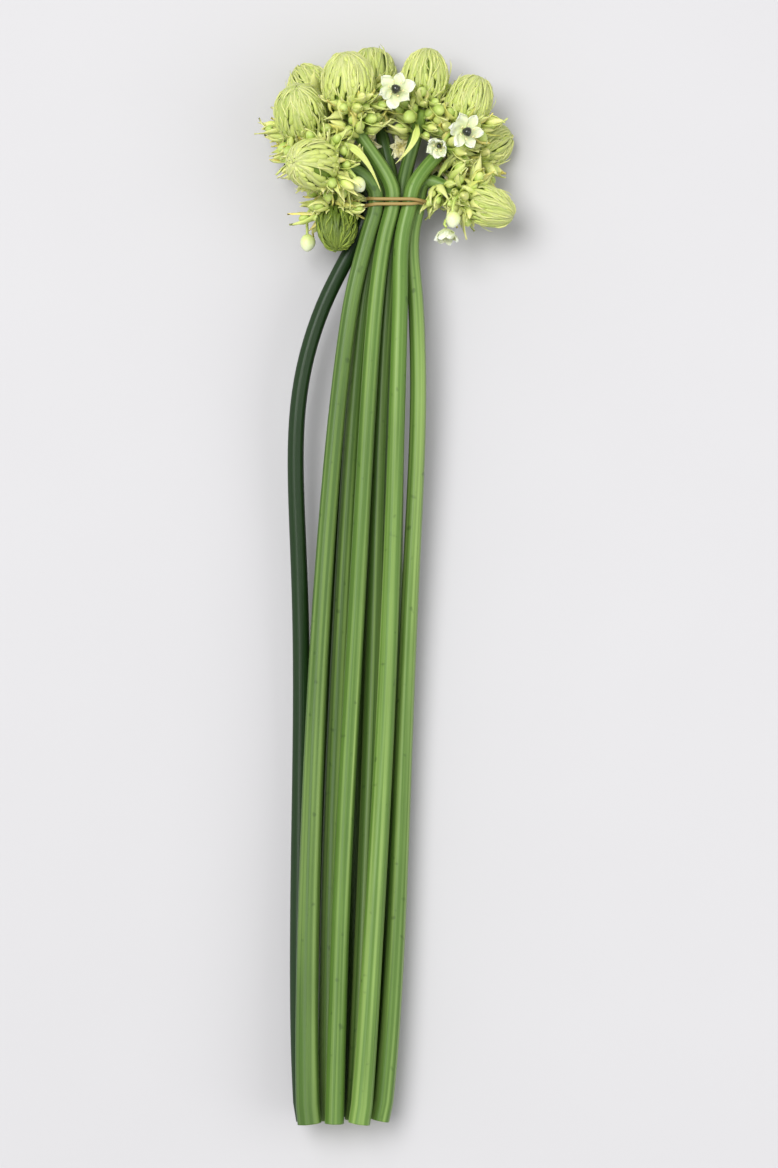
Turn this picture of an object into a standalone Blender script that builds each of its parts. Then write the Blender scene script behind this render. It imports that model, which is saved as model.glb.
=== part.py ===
"""A tied bunch of ten ornithogalum flower stems in bud, laid down on a table.

The stems run along +Y, cut ends at -Y and flower heads at +Y. +Z is up, away from the table, and the
origin is on the table, under the middle of the bunch. Everything is in metres.
Each place is measured from the tie's centre: across the bunch, along it, and up. An empty that stands
at the tie's centre carries every piece.
"""

import math
import random
from collections import namedtuple

import bmesh
import bpy
from mathutils import Matrix, Vector

# The bunch as a whole
BUNCH_LENGTH = 0.700
TIE_CENTRE = Vector((0.0031, 0.247, 0.0356))
TABLE = -TIE_CENTRE.z
CUT_END = -BUNCH_LENGTH / 2 - TIE_CENTRE.y
CLEARANCE = 0.0003

# Stems
CUT_END_RADIUS = 0.0069
TIE_RADIUS = 0.0049
NECK_RADIUS = 0.0044
TIE_PITCH = 0.0107
LOOSEST_SPARE = 0.009
LOOSE_GAP = 0.0006
STRAIGHT_AT_TIE = 0.004
STRAIGHT_AT_NECK = 0.004
GATHERS_FROM = 0.90
CUT_END_ASIDE = -0.034
TURNS_ASIDE_OVER = 0.03
LIE_FLAT_UNTIL = 0.30
ROW_NESTING = 0.866
ROW_SLIDE = {-1: 0.006, 0: 0.0, 1: -0.005}
SLIDE_ENDS = 0.85
WOBBLE = 0.0006
SPREADS_EARLY = 0.6
LEANS_EARLY = 0.42
STEPS_CROWD = 1.6
LOWER_STEPS = 9
UPPER_STEPS = 5

# Heads
HEAD_SEAT = 0.003
NECK_COLLAR = 0.0052
WIDEST_AT = 0.42
TIP_FULLNESS = 2.2
CORE_STEPS = 8
CORE_RINGS = 5
BRACTS = 15
GOLDEN_ANGLE = math.radians(137.508)
BRACT_REACH = 0.026
BRACT_HALF_WIDTH = 0.0031
BRACT_PROUD = 0.0026
BRACT_SUNK = 0.0022
TOP_BRACT_ROOT = 0.66
BASE_BRACT_ROOT = 0.04
BRACT_TIP_LIMIT = 0.96
BRACT_SWAY = 0.3
FLORETS = 5
STALK_RADIUS = 0.0011
STALK_ROOT_UP = 0.007
STALK_ROOT_ASIDE = 0.004
BUD_MARGIN = 0.0012
LOOSE_BRACTS = 3

# Flowers
PETAL_LENGTH = 0.0105
PETAL_HALF_WIDTH = 0.0036
PETAL_THICKNESS = 0.0008
HUB_RADIUS = 0.0022
HUB_DEPTH = 0.0012
FLOWER_NECK = 0.006
OVARY_RADIUS = 0.0026

# Rubber band
BAND_RADIUS = 0.0011
BAND_HALF_SPREAD = 0.0022
BAND_STEPS = 24

COLOURS = {
    "stem": ((0.16, 0.34, 0.07), 0.42),
    "head": ((0.50, 0.60, 0.17), 0.55),
    "petal": ((0.82, 0.84, 0.66), 0.50),
    "ovary": ((0.012, 0.022, 0.012), 0.22),
    "band": ((0.56, 0.33, 0.13), 0.60),
}

# A bract's shape: how far along it, how far over the core, and its share of the full section.
BRACT_SHAPE = [(0.0, -0.0012, 0.70), (0.25, 0.0, 1.0), (0.62, -0.0003, 0.66), (1.0, -0.0008, 0.22)]

# A stem's column and row in the tie, its thickness at the cut end, and how far it bows aside.
Stem = namedtuple("Stem", "column row share bow wobble")
STEMS = [
    Stem(-1.0, -1, 0.96, 0.000, 0.2),
    Stem(0.0, -1, 1.02, 0.000, 1.9),
    Stem(1.0, -1, 0.92, 0.000, 3.1),
    Stem(-1.5, 0, 0.88, -0.018, 0.0),
    Stem(-0.5, 0, 1.10, 0.000, 4.0),
    Stem(0.5, 0, 0.94, 0.000, 5.3),
    Stem(1.5, 0, 0.97, 0.005, 2.6),
    Stem(-1.0, 1, 1.12, -0.001, 0.9),
    Stem(0.0, 1, 0.90, 0.000, 3.7),
    Stem(1.0, 1, 1.03, 0.001, 5.0),
]

# A flower head: the middle of its body, the way its tip points, its size, its stem, and how far the stem
# runs on as it leaves the tie and as it arrives at the head.
Head = namedtuple("Head", "centre points radius length stem leaves arrives")
HEADS = [
    Head((-0.054, 0.076, -0.023), (-0.35, 0.85, -0.30), 0.0140, 0.038, 4, (-0.010, 0.050, -0.012), 0.040),
    Head((-0.060, 0.057, 0.007), (-0.12, 0.78, 0.60), 0.0165, 0.042, 0, (-0.030, 0.045, -0.005), 0.045),
    Head((-0.029, 0.075, 0.018), (-0.12, 0.93, 0.32), 0.0165, 0.042, 8, (0.000, 0.045, 0.004), 0.040),
    Head((-0.013, 0.084, -0.016), (-0.10, 0.98, -0.15), 0.0145, 0.040, 1, (0.000, 0.045, 0.000), 0.040),
    Head((0.020, 0.079, 0.006), (0.12, 0.97, 0.20), 0.0145, 0.042, 5, (0.000, 0.045, 0.000), 0.040),
    Head((0.048, 0.064, 0.007), (0.42, 0.88, 0.22), 0.0140, 0.038, 9, (0.007, 0.045, 0.006), 0.040),
    Head((0.060, 0.039, -0.0226), (0.75, 0.58, -0.28), 0.0140, 0.040, 2, (0.008, 0.040, -0.004), 0.040),
    Head((0.059, -0.001, 0.004), (0.90, -0.42, 0.10), 0.0125, 0.040, 6, (0.006, 0.050, -0.003), 0.048),
    Head((-0.052, 0.022, 0.034), (-0.62, -0.05, 0.78), 0.0155, 0.038, 7, (-0.012, 0.045, 0.008), 0.045),
    Head((-0.037, -0.014, 0.009), (0.05, -0.92, 0.38), 0.0125, 0.036, 3, (-0.014, 0.062, 0.008), 0.052),
]

# A flower: the head that it grows from, its middle, the way it faces, how far it opens, and its size.
Flower = namedtuple("Flower", "head centre faces opening share")
FLOWERS = [
    Flower(4, (0.001, 0.070, 0.029), (0.05, 0.05, 1.0), 78, 1.0),
    Flower(5, (0.046, 0.044, 0.026), (0.25, -0.20, 1.0), 74, 1.0),
    Flower(5, (0.030, 0.036, 0.021), (-0.35, -0.45, 0.85), 38, 0.85),
    Flower(7, (0.034, -0.017, 0.004), (-0.10, -0.95, 0.25), 40, 0.95),
    Flower(3, (0.012, 0.064, -0.024), (0.50, -0.20, -0.80), 70, 0.95),
]

# A large bud that stands clear of its head: its middle, where its stalk bends, and its radius.
Bud = namedtuple("Bud", "head centre bend radius")
LARGE_BUDS = [
    Bud(8, (-0.023, 0.010, 0.026), (-0.030, 0.020, 0.026), 0.0046),
    Bud(9, (-0.056, -0.025, 0.000), (-0.054, -0.002, -0.004), 0.0050),
    Bud(7, (0.038, -0.012, 0.022), (0.040, 0.002, 0.018), 0.0048),
    Bud(4, (0.010, 0.054, 0.021), (0.012, 0.058, 0.014), 0.0042),
]


def clear_scene():
    for obj in list(bpy.data.objects):
        bpy.data.objects.remove(obj)


def blend(low, high, share):
    return low + (high - low) * share


def ease(share):
    share = min(1.0, max(0.0, share))
    return share * share * (3 - 2 * share)


def axis_of(head):
    return Vector(head.points).normalized()


def neck_of(head):
    """The middle of the head's flat underside, where the stem meets it."""
    return Vector(head.centre) - axis_of(head) * (head.length / 2 - HEAD_SEAT)


def frame_along(direction, origin):
    """A frame at the origin given, whose +Z runs along a direction."""
    frame = direction.to_track_quat("Z", "Y").to_matrix().to_4x4()
    frame.translation = origin
    return frame


def stem_radius(share, along):
    """Half a stem's thickness, from the cut end at 0 to the tie at 1."""
    return blend(CUT_END_RADIUS, TIE_RADIUS, along**0.9) * blend(share, 1.0, along)


def lower_point(stem, along):
    """The middle of a stem between the cut end at 0 and the tie at 1."""
    widest = max(stem_radius(other.share, along) for other in STEMS)
    radius = stem_radius(stem.share, along)
    touching = 2 * widest + LOOSE_GAP
    loosened = touching + LOOSEST_SPARE * math.sin(math.pi * along) ** SPREADS_EARLY
    gathered = ease((along - GATHERS_FROM) / (1 - GATHERS_FROM))
    pitch = blend(loosened, TIE_PITCH, gathered)
    spacing = blend(touching, ROW_NESTING * TIE_PITCH, gathered)
    risen = ease((along - LIE_FLAT_UNTIL) / (1 - LIE_FLAT_UNTIL))
    middle = blend(widest + spacing, -TABLE, risen)
    settled = widest - radius if stem.row < 0 else 0.0
    slide = ROW_SLIDE[stem.row] * (1 - ease(along / SLIDE_ENDS))
    bow = stem.bow * math.sin(math.pi * along**3) ** 2
    wobble = WOBBLE * math.sin(math.tau * along + stem.wobble) * math.sin(math.pi * along)
    from_tie = (1 - along) ** 2 / (1 - along + TURNS_ASIDE_OVER)
    lean = CUT_END_ASIDE * from_tie**LEANS_EARLY
    return Vector((
        lean + stem.column * pitch + slide + bow + wobble,
        blend(CUT_END, -STRAIGHT_AT_TIE, along),
        TABLE + middle + stem.row * spacing - settled,
    ))


def upper_point(head, along):
    """The middle of a stem between the tie at 0 and the head's neck at 1."""
    stem = STEMS[head.stem]
    start = Vector((stem.column * TIE_PITCH, STRAIGHT_AT_TIE, stem.row * ROW_NESTING * TIE_PITCH))
    end = neck_of(head) - axis_of(head) * (CLEARANCE + STRAIGHT_AT_NECK)
    square = along * along
    cube = square * along
    return (
        (2 * cube - 3 * square + 1) * start
        + (cube - 2 * square + along) * Vector(head.leaves)
        + (3 * square - 2 * cube) * end
        + (cube - square) * axis_of(head) * head.arrives
    )


def stem_line(head):
    """The points along a stem and its radius at each, from the cut end to the neck."""
    stem = STEMS[head.stem]
    line = []
    for step in range(LOWER_STEPS + 1):
        along = 1 - (1 - step / LOWER_STEPS) ** STEPS_CROWD
        line.append((lower_point(stem, along), stem_radius(stem.share, along)))
    for step in range(UPPER_STEPS + 1):
        along = step / UPPER_STEPS
        line.append((upper_point(head, along), blend(TIE_RADIUS, NECK_RADIUS, along)))
    line.append((neck_of(head) - axis_of(head) * CLEARANCE, NECK_RADIUS))
    return line


def outside_head(head, point):
    """About how far a point lies outside a head's body."""
    offset = point - Vector(head.centre)
    along = offset.dot(axis_of(head))
    aside = (offset - axis_of(head) * along).length
    share = math.hypot(along / (head.length / 2), aside / head.radius)
    return offset.length * (1 - 1 / max(share, 0.001))


def outside_stem(line, point):
    """How far a point lies outside a stem."""
    nearest = math.inf
    for (start, radius), (end, _) in zip(line, line[1:]):
        run = end - start
        share = max(0.0, min(1.0, (point - start).dot(run) / run.length_squared))
        nearest = min(nearest, (point - start - run * share).length - radius)
    return nearest


def is_clear(point, margin, head, lines, taken):
    """Whether a ball of this radius round a point misses the table, the stems, the buds and other heads."""
    others = (outside_head(other, point) for other in HEADS if other is not head)
    stems = (outside_stem(line, point) for line in lines)
    buds = ((point - spot).length - radius for spot, radius in taken)
    gap = min(*others, *stems, *buds, point.z - TABLE)
    return gap > margin


def core_radius(head, share):
    """The radius of a head's core at a share of the way from its neck to its tip."""
    widest = head.radius - BRACT_PROUD
    if share < WIDEST_AT:
        return blend(NECK_COLLAR, widest, math.sin(math.pi / 2 * share / WIDEST_AT))
    return widest * math.sqrt(max(0.0, 1 - ((share - WIDEST_AT) / (1 - WIDEST_AT)) ** TIP_FULLNESS))


def core_length(head):
    return head.length - HEAD_SEAT


def on_core(head, share, turn, lift=0.0):
    """A point over a head's core, in the head's own frame, at a share of its length and an angle."""
    radius = core_radius(head, share) + lift
    return Vector((radius * math.cos(turn), radius * math.sin(turn), share * core_length(head)))


def add_material(obj, finish):
    colour, roughness = COLOURS[finish]
    material = bpy.data.materials.get(finish) or bpy.data.materials.new(finish)
    material.use_nodes = True
    shader = material.node_tree.nodes["Principled BSDF"]
    shader.inputs["Base Color"].default_value = (*colour, 1.0)
    shader.inputs["Roughness"].default_value = roughness
    shader.inputs["Metallic"].default_value = 0.0
    obj.data.materials.clear()
    obj.data.materials.append(material)


def new_collection(name):
    collection = bpy.data.collections.new(name)
    bpy.context.scene.collection.children.link(collection)
    return collection


def bar(name, points, radii, collection, section=None, resolution=0):
    """A bar with filled ends along points: round, or with the section of another curve."""
    curve = bpy.data.curves.new(name, "CURVE")
    curve.dimensions = "3D"
    curve.use_fill_caps = True
    if section:
        curve.bevel_mode = "OBJECT"
        curve.bevel_object = section
    else:
        curve.bevel_depth = 1.0
        curve.bevel_resolution = resolution
    spline = curve.splines.new("POLY")
    spline.points.add(len(points) - 1)
    for spot, point, radius in zip(spline.points, points, radii):
        spot.co = (*point, 1.0)
        spot.radius = radius
    obj = bpy.data.objects.new(name, curve)
    collection.objects.link(obj)
    return obj


def outline(name, corners, collection):
    """A closed flat curve through corners."""
    curve = bpy.data.curves.new(name, "CURVE")
    curve.dimensions = "2D"
    spline = curve.splines.new("POLY")
    spline.use_cyclic_u = True
    spline.points.add(len(corners) - 1)
    for spot, (across, up) in zip(spline.points, corners):
        spot.co = (across, up, 0.0, 1.0)
    obj = bpy.data.objects.new(name, curve)
    collection.objects.link(obj)
    return obj


def ball(name, centre, radius, stretch, direction, collection):
    """A small faceted ball, drawn out along a direction."""
    mesh = bpy.data.meshes.new(name)
    shape = bmesh.new()
    bmesh.ops.create_icosphere(shape, subdivisions=1, radius=radius)
    bmesh.ops.scale(shape, vec=(1.0, 1.0, stretch), verts=shape.verts)
    shape.to_mesh(mesh)
    shape.free()
    obj = bpy.data.objects.new(name, mesh)
    obj.matrix_world = frame_along(direction, centre)
    collection.objects.link(obj)
    return obj


def applied(obj):
    """A mesh object in place of one with modifiers, or in place of a curve, whose caps are welded."""
    bpy.context.view_layer.update()
    evaluated = obj.evaluated_get(bpy.context.evaluated_depsgraph_get())
    mesh = bpy.data.meshes.new_from_object(evaluated)
    if obj.type == "CURVE":
        shape = bmesh.new()
        shape.from_mesh(mesh)
        bmesh.ops.remove_doubles(shape, verts=shape.verts, dist=0.000001)
        shape.to_mesh(mesh)
        shape.free()
    name = obj.name
    made = bpy.data.objects.new(name, mesh)
    made.matrix_world = obj.matrix_world
    for collection in obj.users_collection:
        collection.objects.link(made)
    bpy.data.objects.remove(obj)
    made.name = name
    return made


def fuse(body, pieces):
    """Joins each piece of a collection to a body by one union, and removes the pieces."""
    for obj in list(pieces.objects):
        if obj.type == "CURVE":
            applied(obj)
    union = body.modifiers.new("Union", "BOOLEAN")
    union.operation = "UNION"
    union.operand_type = "COLLECTION"
    union.collection = pieces
    union.solver = "EXACT"
    made = applied(body)
    for obj in list(pieces.objects):
        bpy.data.objects.remove(obj)
    bpy.data.collections.remove(pieces)
    return made


def make_core(name, head, collection):
    """The heart of a head: a turned egg whose flat underside sits on the stem."""
    profile = [(0.0, core_length(head))]
    for ring in range(1, CORE_RINGS):
        share = math.cos(math.pi / 2 * ring / CORE_RINGS)
        profile.append((core_radius(head, share), share * core_length(head)))
    profile += [(NECK_COLLAR, 0.0), (0.0, 0.0)]
    mesh = bpy.data.meshes.new(name)
    vertices = [(radius, 0.0, height) for radius, height in profile]
    mesh.from_pydata(vertices, [(i, i + 1) for i in range(len(vertices) - 1)], [])
    core = bpy.data.objects.new(name, mesh)
    collection.objects.link(core)
    turned = core.modifiers.new("Turn", "SCREW")
    turned.steps = turned.render_steps = CORE_STEPS
    turned.use_merge_vertices = True
    turned.merge_threshold = 0.00005
    core.matrix_world = frame_along(axis_of(head), neck_of(head))
    return core


def add_bract(head, number, draw, section, pieces):
    """One of the long bracts that lie over a head: a ridge that narrows to the tip."""
    root = blend(TOP_BRACT_ROOT, BASE_BRACT_ROOT, number / (BRACTS - 1))
    tip = min(BRACT_TIP_LIMIT, root + BRACT_REACH / core_length(head))
    sway = draw.uniform(-BRACT_SWAY, BRACT_SWAY)
    points = [
        on_core(head, blend(root, tip, along), sway * along, lift) for along, lift, _ in BRACT_SHAPE
    ]
    bract = bar("bract", points, [size for _, _, size in BRACT_SHAPE], pieces, section)
    turn = Matrix.Rotation(number * GOLDEN_ANGLE, 4, "Z")
    bract.matrix_world = frame_along(axis_of(head), neck_of(head)) @ turn


def add_stalk(points, pieces, section):
    bar("stalk", points, [STALK_RADIUS / BRACT_HALF_WIDTH] * len(points), pieces, section)


def add_florets(head, draw, lines, taken, section, pieces):
    """Stalked buds round a head's base, each where it is clear of everything else."""
    frame = frame_along(axis_of(head), neck_of(head))
    made = 0
    turn = draw.uniform(0, math.tau)
    for _ in range(90):
        turn += GOLDEN_ANGLE
        tilt = math.radians(draw.uniform(60, 105))
        radius = draw.uniform(0.0030, 0.0042)
        reach = draw.uniform(0.009, 0.014)
        root = on_core(head, draw.uniform(0.10, 0.20), turn, -0.003)
        out = Vector((math.sin(tilt) * math.cos(turn), math.sin(tilt) * math.sin(turn), math.cos(tilt)))
        centre = frame @ (root + out * (reach + radius))
        own = outside_head(head, centre) > radius * 0.9
        if own and made < FLORETS and is_clear(centre, radius + BUD_MARGIN, head, lines, taken):
            add_stalk([frame @ root, centre], pieces, section)
            ball("bud", centre, radius, 1.15, frame.to_3x3() @ out, pieces)
            taken.append((centre, radius))
            made += 1


def add_loose_bracts(head, draw, lines, taken, section, pieces):
    """Pointed bracts that stand out round a head's base, where there is room for them."""
    frame = frame_along(axis_of(head), neck_of(head))
    made = 0
    for _ in range(60):
        turn = draw.uniform(0, math.tau)
        tilt = math.radians(draw.uniform(50, 80))
        reach = draw.uniform(0.012, 0.018)
        radial = Vector((math.cos(turn), math.sin(turn), 0.0))
        root = on_core(head, 0.20, turn, -0.002)
        middle = root + (radial * math.sin(tilt) + Vector((0, 0, math.cos(tilt)))) * reach * 0.55
        tip = middle + (radial * 0.6 + Vector((0, 0, 0.8))) * reach * 0.45
        room = [is_clear(frame @ point, 0.0028, head, lines, taken) for point in (middle, tip)]
        if all(room) and made < LOOSE_BRACTS:
            points = [frame @ root, frame @ middle, frame @ tip]
            bar("loose_bract", points, [0.55, 0.60, 0.15], pieces, section)
            taken.append((frame @ middle, 0.002))
            made += 1


def stalk_root(head, towards):
    """Where a long stalk starts, inside a head's base and on the side that it leaves from."""
    aside = Vector(towards) - neck_of(head)
    aside -= axis_of(head) * aside.dot(axis_of(head))
    return neck_of(head) + axis_of(head) * STALK_ROOT_UP + aside.normalized() * STALK_ROOT_ASIDE


def add_reaching(index, section, pieces):
    """The stalks of a head's flowers, and its large buds on theirs."""
    head = HEADS[index]
    for bud in LARGE_BUDS:
        if bud.head == index:
            centre, bend = Vector(bud.centre), Vector(bud.bend)
            add_stalk([stalk_root(head, bend), bend, centre], pieces, section)
            ball("large_bud", centre, bud.radius, 1.08, centre - bend, pieces)
    for flower in FLOWERS:
        if flower.head == index:
            faces = Vector(flower.faces).normalized()
            seat = Vector(flower.centre) - faces * (HUB_DEPTH + CLEARANCE)
            bend = seat - faces * FLOWER_NECK
            add_stalk([stalk_root(head, bend), bend, seat], pieces, section)


def make_head(index, lines, taken, section, collection, table):
    """One flower head in bud: a core, the bracts that cover it, and the buds round its base."""
    head = HEADS[index]
    name = f"head_{index + 1:02d}"
    draw = random.Random(7 + index)
    core = make_core(name, head, collection)
    pieces = new_collection(f"{name}_pieces")
    for number in range(BRACTS):
        add_bract(head, number, draw, section, pieces)
    add_florets(head, draw, lines, taken, section, pieces)
    add_loose_bracts(head, draw, lines, taken, section, pieces)
    add_reaching(index, section, pieces)
    made = fuse(core, pieces)
    if head.centre[2] - head.radius < TABLE:
        flat = made.modifiers.new("Flat", "BOOLEAN")
        flat.operation = "DIFFERENCE"
        flat.object = table
    add_material(made, "head")


def make_stem(head, line, collection):
    points = [point for point, _ in line]
    radii = [radius for _, radius in line]
    stem = bar(f"stem_{head.stem + 1:02d}", points, radii, collection, resolution=2)
    add_material(stem, "stem")


def make_petals(number, flower, collection):
    """Six petals round a small hub, as one solid."""
    faces = Vector(flower.faces).normalized()
    centre = Vector(flower.centre)
    name = f"petals_{number}"
    ends = [centre - faces * HUB_DEPTH, centre]
    hub = applied(bar(name, ends, [HUB_RADIUS * 0.7, HUB_RADIUS], collection, resolution=1))
    pieces = new_collection(f"{name}_pieces")
    half = [(0.0, 0.3), (0.6, 1.0)]
    length, width = PETAL_LENGTH * flower.share, PETAL_HALF_WIDTH * flower.share
    corners = [(along * length, -aside * width) for along, aside in half]
    corners += [(length, 0.0)] + [(x, -y) for x, y in reversed(corners)]
    for petal in range(6):
        shape = outline("petal", corners, pieces)
        shape.data.fill_mode = "BOTH"
        shape.data.extrude = PETAL_THICKNESS / 2
        opening = math.radians(flower.opening - 8 * (petal % 2))
        raise_petal = Matrix.Rotation(opening - math.pi / 2, 4, "Y")
        round_hub = Matrix.Rotation(math.tau * petal / 6, 4, "Z")
        seat = Matrix.Translation((HUB_RADIUS * 0.55, 0.0, -HUB_DEPTH / 2))
        shape.matrix_world = frame_along(faces, centre) @ round_hub @ seat @ raise_petal
    add_material(fuse(hub, pieces), "petal")


def make_ovary(number, flower, collection):
    faces = Vector(flower.faces).normalized()
    radius = OVARY_RADIUS * flower.share * math.sin(math.radians(flower.opening))
    centre = Vector(flower.centre) + faces * (radius * 1.2 + 2 * CLEARANCE)
    add_material(ball(f"ovary_{number}", centre, radius, 1.2, faces, collection), "ovary")


def make_band(collection):
    """A rubber band wound twice round the tie, its two turns crossing on the right."""
    middles = [
        Vector((stem.column * TIE_PITCH, 0.0, stem.row * ROW_NESTING * TIE_PITCH)) for stem in STEMS
    ]
    over = 2 * BAND_RADIUS + CLEARANCE
    points = []
    for step in range(2 * BAND_STEPS):
        angle = math.tau * (step + 0.5) / BAND_STEPS
        normal = Vector((math.cos(angle), 0.0, math.sin(angle)))
        outermost = max(middles, key=lambda middle: middle.dot(normal))
        lift = TIE_RADIUS + BAND_RADIUS + CLEARANCE + over * ((1 + math.cos(angle / 2)) / 2) ** 8
        along = Vector((0.0, BAND_HALF_SPREAD * math.sin(angle / 2), 0.0))
        points.append(outermost + normal * lift + along)
    band = bar("rubber_band", points, [BAND_RADIUS] * len(points), collection, resolution=1)
    band.data.splines[0].use_cyclic_u = True
    add_material(band, "band")


def make_table(collection):
    """A block under the table's top, which flattens the heads that rest on it."""
    mesh = bpy.data.meshes.new("under_table")
    shape = bmesh.new()
    bmesh.ops.create_cube(shape, size=0.4)
    bmesh.ops.translate(shape, vec=(0.0, 0.0, TABLE - 0.2), verts=shape.verts)
    shape.to_mesh(mesh)
    shape.free()
    return guide(bpy.data.objects.new("under_table", mesh), collection)


def guide(obj, collection):
    if obj.name not in collection.objects:
        collection.objects.link(obj)
    obj.hide_render = True
    obj.display_type = "WIRE"
    return obj


def main():
    clear_scene()
    bunch = new_collection("ornithogalum_bunch")
    guides = new_collection("guides")
    corners = [(-BRACT_HALF_WIDTH, BRACT_SUNK), (BRACT_HALF_WIDTH, BRACT_SUNK), (0.0, -BRACT_PROUD)]
    section = guide(outline("bract_section", corners, guides), guides)
    table = make_table(guides)
    lines = [stem_line(head) for head in HEADS]
    taken = [(Vector(bud.centre), bud.radius) for bud in LARGE_BUDS]
    taken += [(Vector(flower.centre), PETAL_LENGTH * flower.share) for flower in FLOWERS]
    for index, head in enumerate(HEADS):
        make_stem(head, lines[index], bunch)
        make_head(index, lines, taken, section, bunch, table)
    for number, flower in enumerate(FLOWERS, start=1):
        make_petals(number, flower, bunch)
        make_ovary(number, flower, bunch)
    make_band(bunch)
    tie = bpy.data.objects.new("tie_centre", None)
    tie.location = TIE_CENTRE
    bunch.objects.link(tie)
    for obj in [*bunch.objects, *guides.objects]:
        if obj is not tie:
            obj.parent = tie


main()
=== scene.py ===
"""The looks of a tied bunch of ornithogalum flower stems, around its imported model.

Each stem, flower head, flower and the rubber band gets a finely modelled piece in place of its plain
solid. Places are measured from the tie's centre, across the bunch, along it and up, in metres.
"""

import math
import random
from collections import namedtuple

import bmesh
import bpy
from bpy.props import FloatProperty, FloatVectorProperty, IntProperty, PointerProperty
from mathutils import Matrix, Vector


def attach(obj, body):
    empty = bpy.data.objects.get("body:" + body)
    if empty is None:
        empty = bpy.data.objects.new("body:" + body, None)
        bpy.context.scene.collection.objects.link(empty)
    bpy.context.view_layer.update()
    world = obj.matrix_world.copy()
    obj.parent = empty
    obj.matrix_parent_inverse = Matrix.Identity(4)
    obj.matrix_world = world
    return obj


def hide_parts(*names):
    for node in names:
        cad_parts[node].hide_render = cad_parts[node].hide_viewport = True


bl_info = {
    "name": "Ornithogalum Bunch",
    "version": (1, 0, 0),
    "blender": (4, 5, 0),
    "location": "3D View > Sidebar > Bunch",
    "description": "Builds the stems, flower heads, open flowers and rubber band of a tied bunch",
    "category": "Add Mesh",
}

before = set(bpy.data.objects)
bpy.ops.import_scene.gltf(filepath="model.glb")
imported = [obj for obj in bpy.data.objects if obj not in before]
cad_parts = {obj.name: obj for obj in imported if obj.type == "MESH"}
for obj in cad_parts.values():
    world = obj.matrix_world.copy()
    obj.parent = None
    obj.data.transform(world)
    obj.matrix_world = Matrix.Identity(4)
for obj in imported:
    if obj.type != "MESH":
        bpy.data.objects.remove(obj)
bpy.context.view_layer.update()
UP = Vector((0.0, 0.0, 1.0))
GOLDEN_ANGLE = math.radians(137.508)

# The bunch as a whole
BUNCH_LENGTH = 0.700
TIE_CENTRE = Vector((0.0031, 0.247, 0.0356))
TABLE = -TIE_CENTRE.z
CUT_END = -BUNCH_LENGTH / 2 - TIE_CENTRE.y
CLEARANCE = 0.0003

# How the stems run, as in the solids
CUT_END_RADIUS = 0.0069
TIE_RADIUS = 0.0049
NECK_RADIUS = 0.0044
TIE_PITCH = 0.0107
LOOSEST_SPARE = 0.009
LOOSE_GAP = 0.0006
STRAIGHT_AT_TIE = 0.004
STRAIGHT_AT_NECK = 0.004
GATHERS_FROM = 0.90
CUT_END_ASIDE = -0.034
TURNS_ASIDE_OVER = 0.03
LIE_FLAT_UNTIL = 0.30
ROW_NESTING = 0.866
ROW_SLIDE = {-1: 0.006, 0: 0.0, 1: -0.005}
SLIDE_ENDS = 0.85
WOBBLE = 0.0006
SPREADS_EARLY = 0.6
LEANS_EARLY = 0.42

# How the heads are laid out, as in the solids
HEAD_SEAT = 0.003
NECK_COLLAR = 0.0052
WIDEST_AT = 0.42
TIP_FULLNESS = 2.2
BRACT_PROUD = 0.0026
SOLID_BRACTS = 15
SOLID_FLORETS = 5
SOLID_LOOSE_BRACTS = 3
BUD_MARGIN = 0.0012
STALK_ROOT_UP = 0.007
STALK_ROOT_ASIDE = 0.004

# How the flowers are laid out, as in the solids
PETAL_LENGTH = 0.0105
HUB_RADIUS = 0.0022
HUB_DEPTH = 0.0012
FLOWER_NECK = 0.006
OVARY_RADIUS = 0.0026

# The stems' finer skins, and the rings of a cut end: how far in, how far out, and how far each is flesh
SLIM_NECK_RADIUS = 0.0039
LOWER_STEPS = 62
UPPER_STEPS = 22
SOLID_LOWER_STEPS = 9
SOLID_UPPER_STEPS = 5
CUT_RINGS = [(0.0006, 0.0, 0.0), (0.0002, 0.0002, 1.0), (0.0022, 0.0, 0.8)]

# A head's heart under its bracts, and how far the bracts and loose tails rise from its body
USUAL_HEAD_RADIUS = 0.0155
HEART_UNDER = 0.0006
HEART_BELOW_TIP = 0.0012
BRACT_FLARE = 0.0013
BRACT_SUNK = 0.0004
BRACT_OVER = 0.0006
BRACT_CURL = (0.0020, 0.0045)
TAIL_OVER = (0.0005, 0.0012)
TAIL_HALF_WIDTH = (0.00045, 0.00075)

# Buds round a head: their radius, how far their stalks reach, and what they keep clear of each other
SOLID_BUD = (0.0030, 0.0042)
SOLID_STALK = (0.009, 0.014)
SOLID_BUD_SHRUNK = 0.88
COLLAR_BUD = (0.0023, 0.0037)
COLLAR_STALK = (0.003, 0.011)
COLLAR_BACK = (-0.006, 0.019)
SHOULDER_BUD = (0.0022, 0.0031)
SHOULDER_STALK = (0.0022, 0.0034)
BUD_GAP = 0.0002
ROOT_SUNK = 0.002
SOLID_ROOT_SUNK = 0.003

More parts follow.
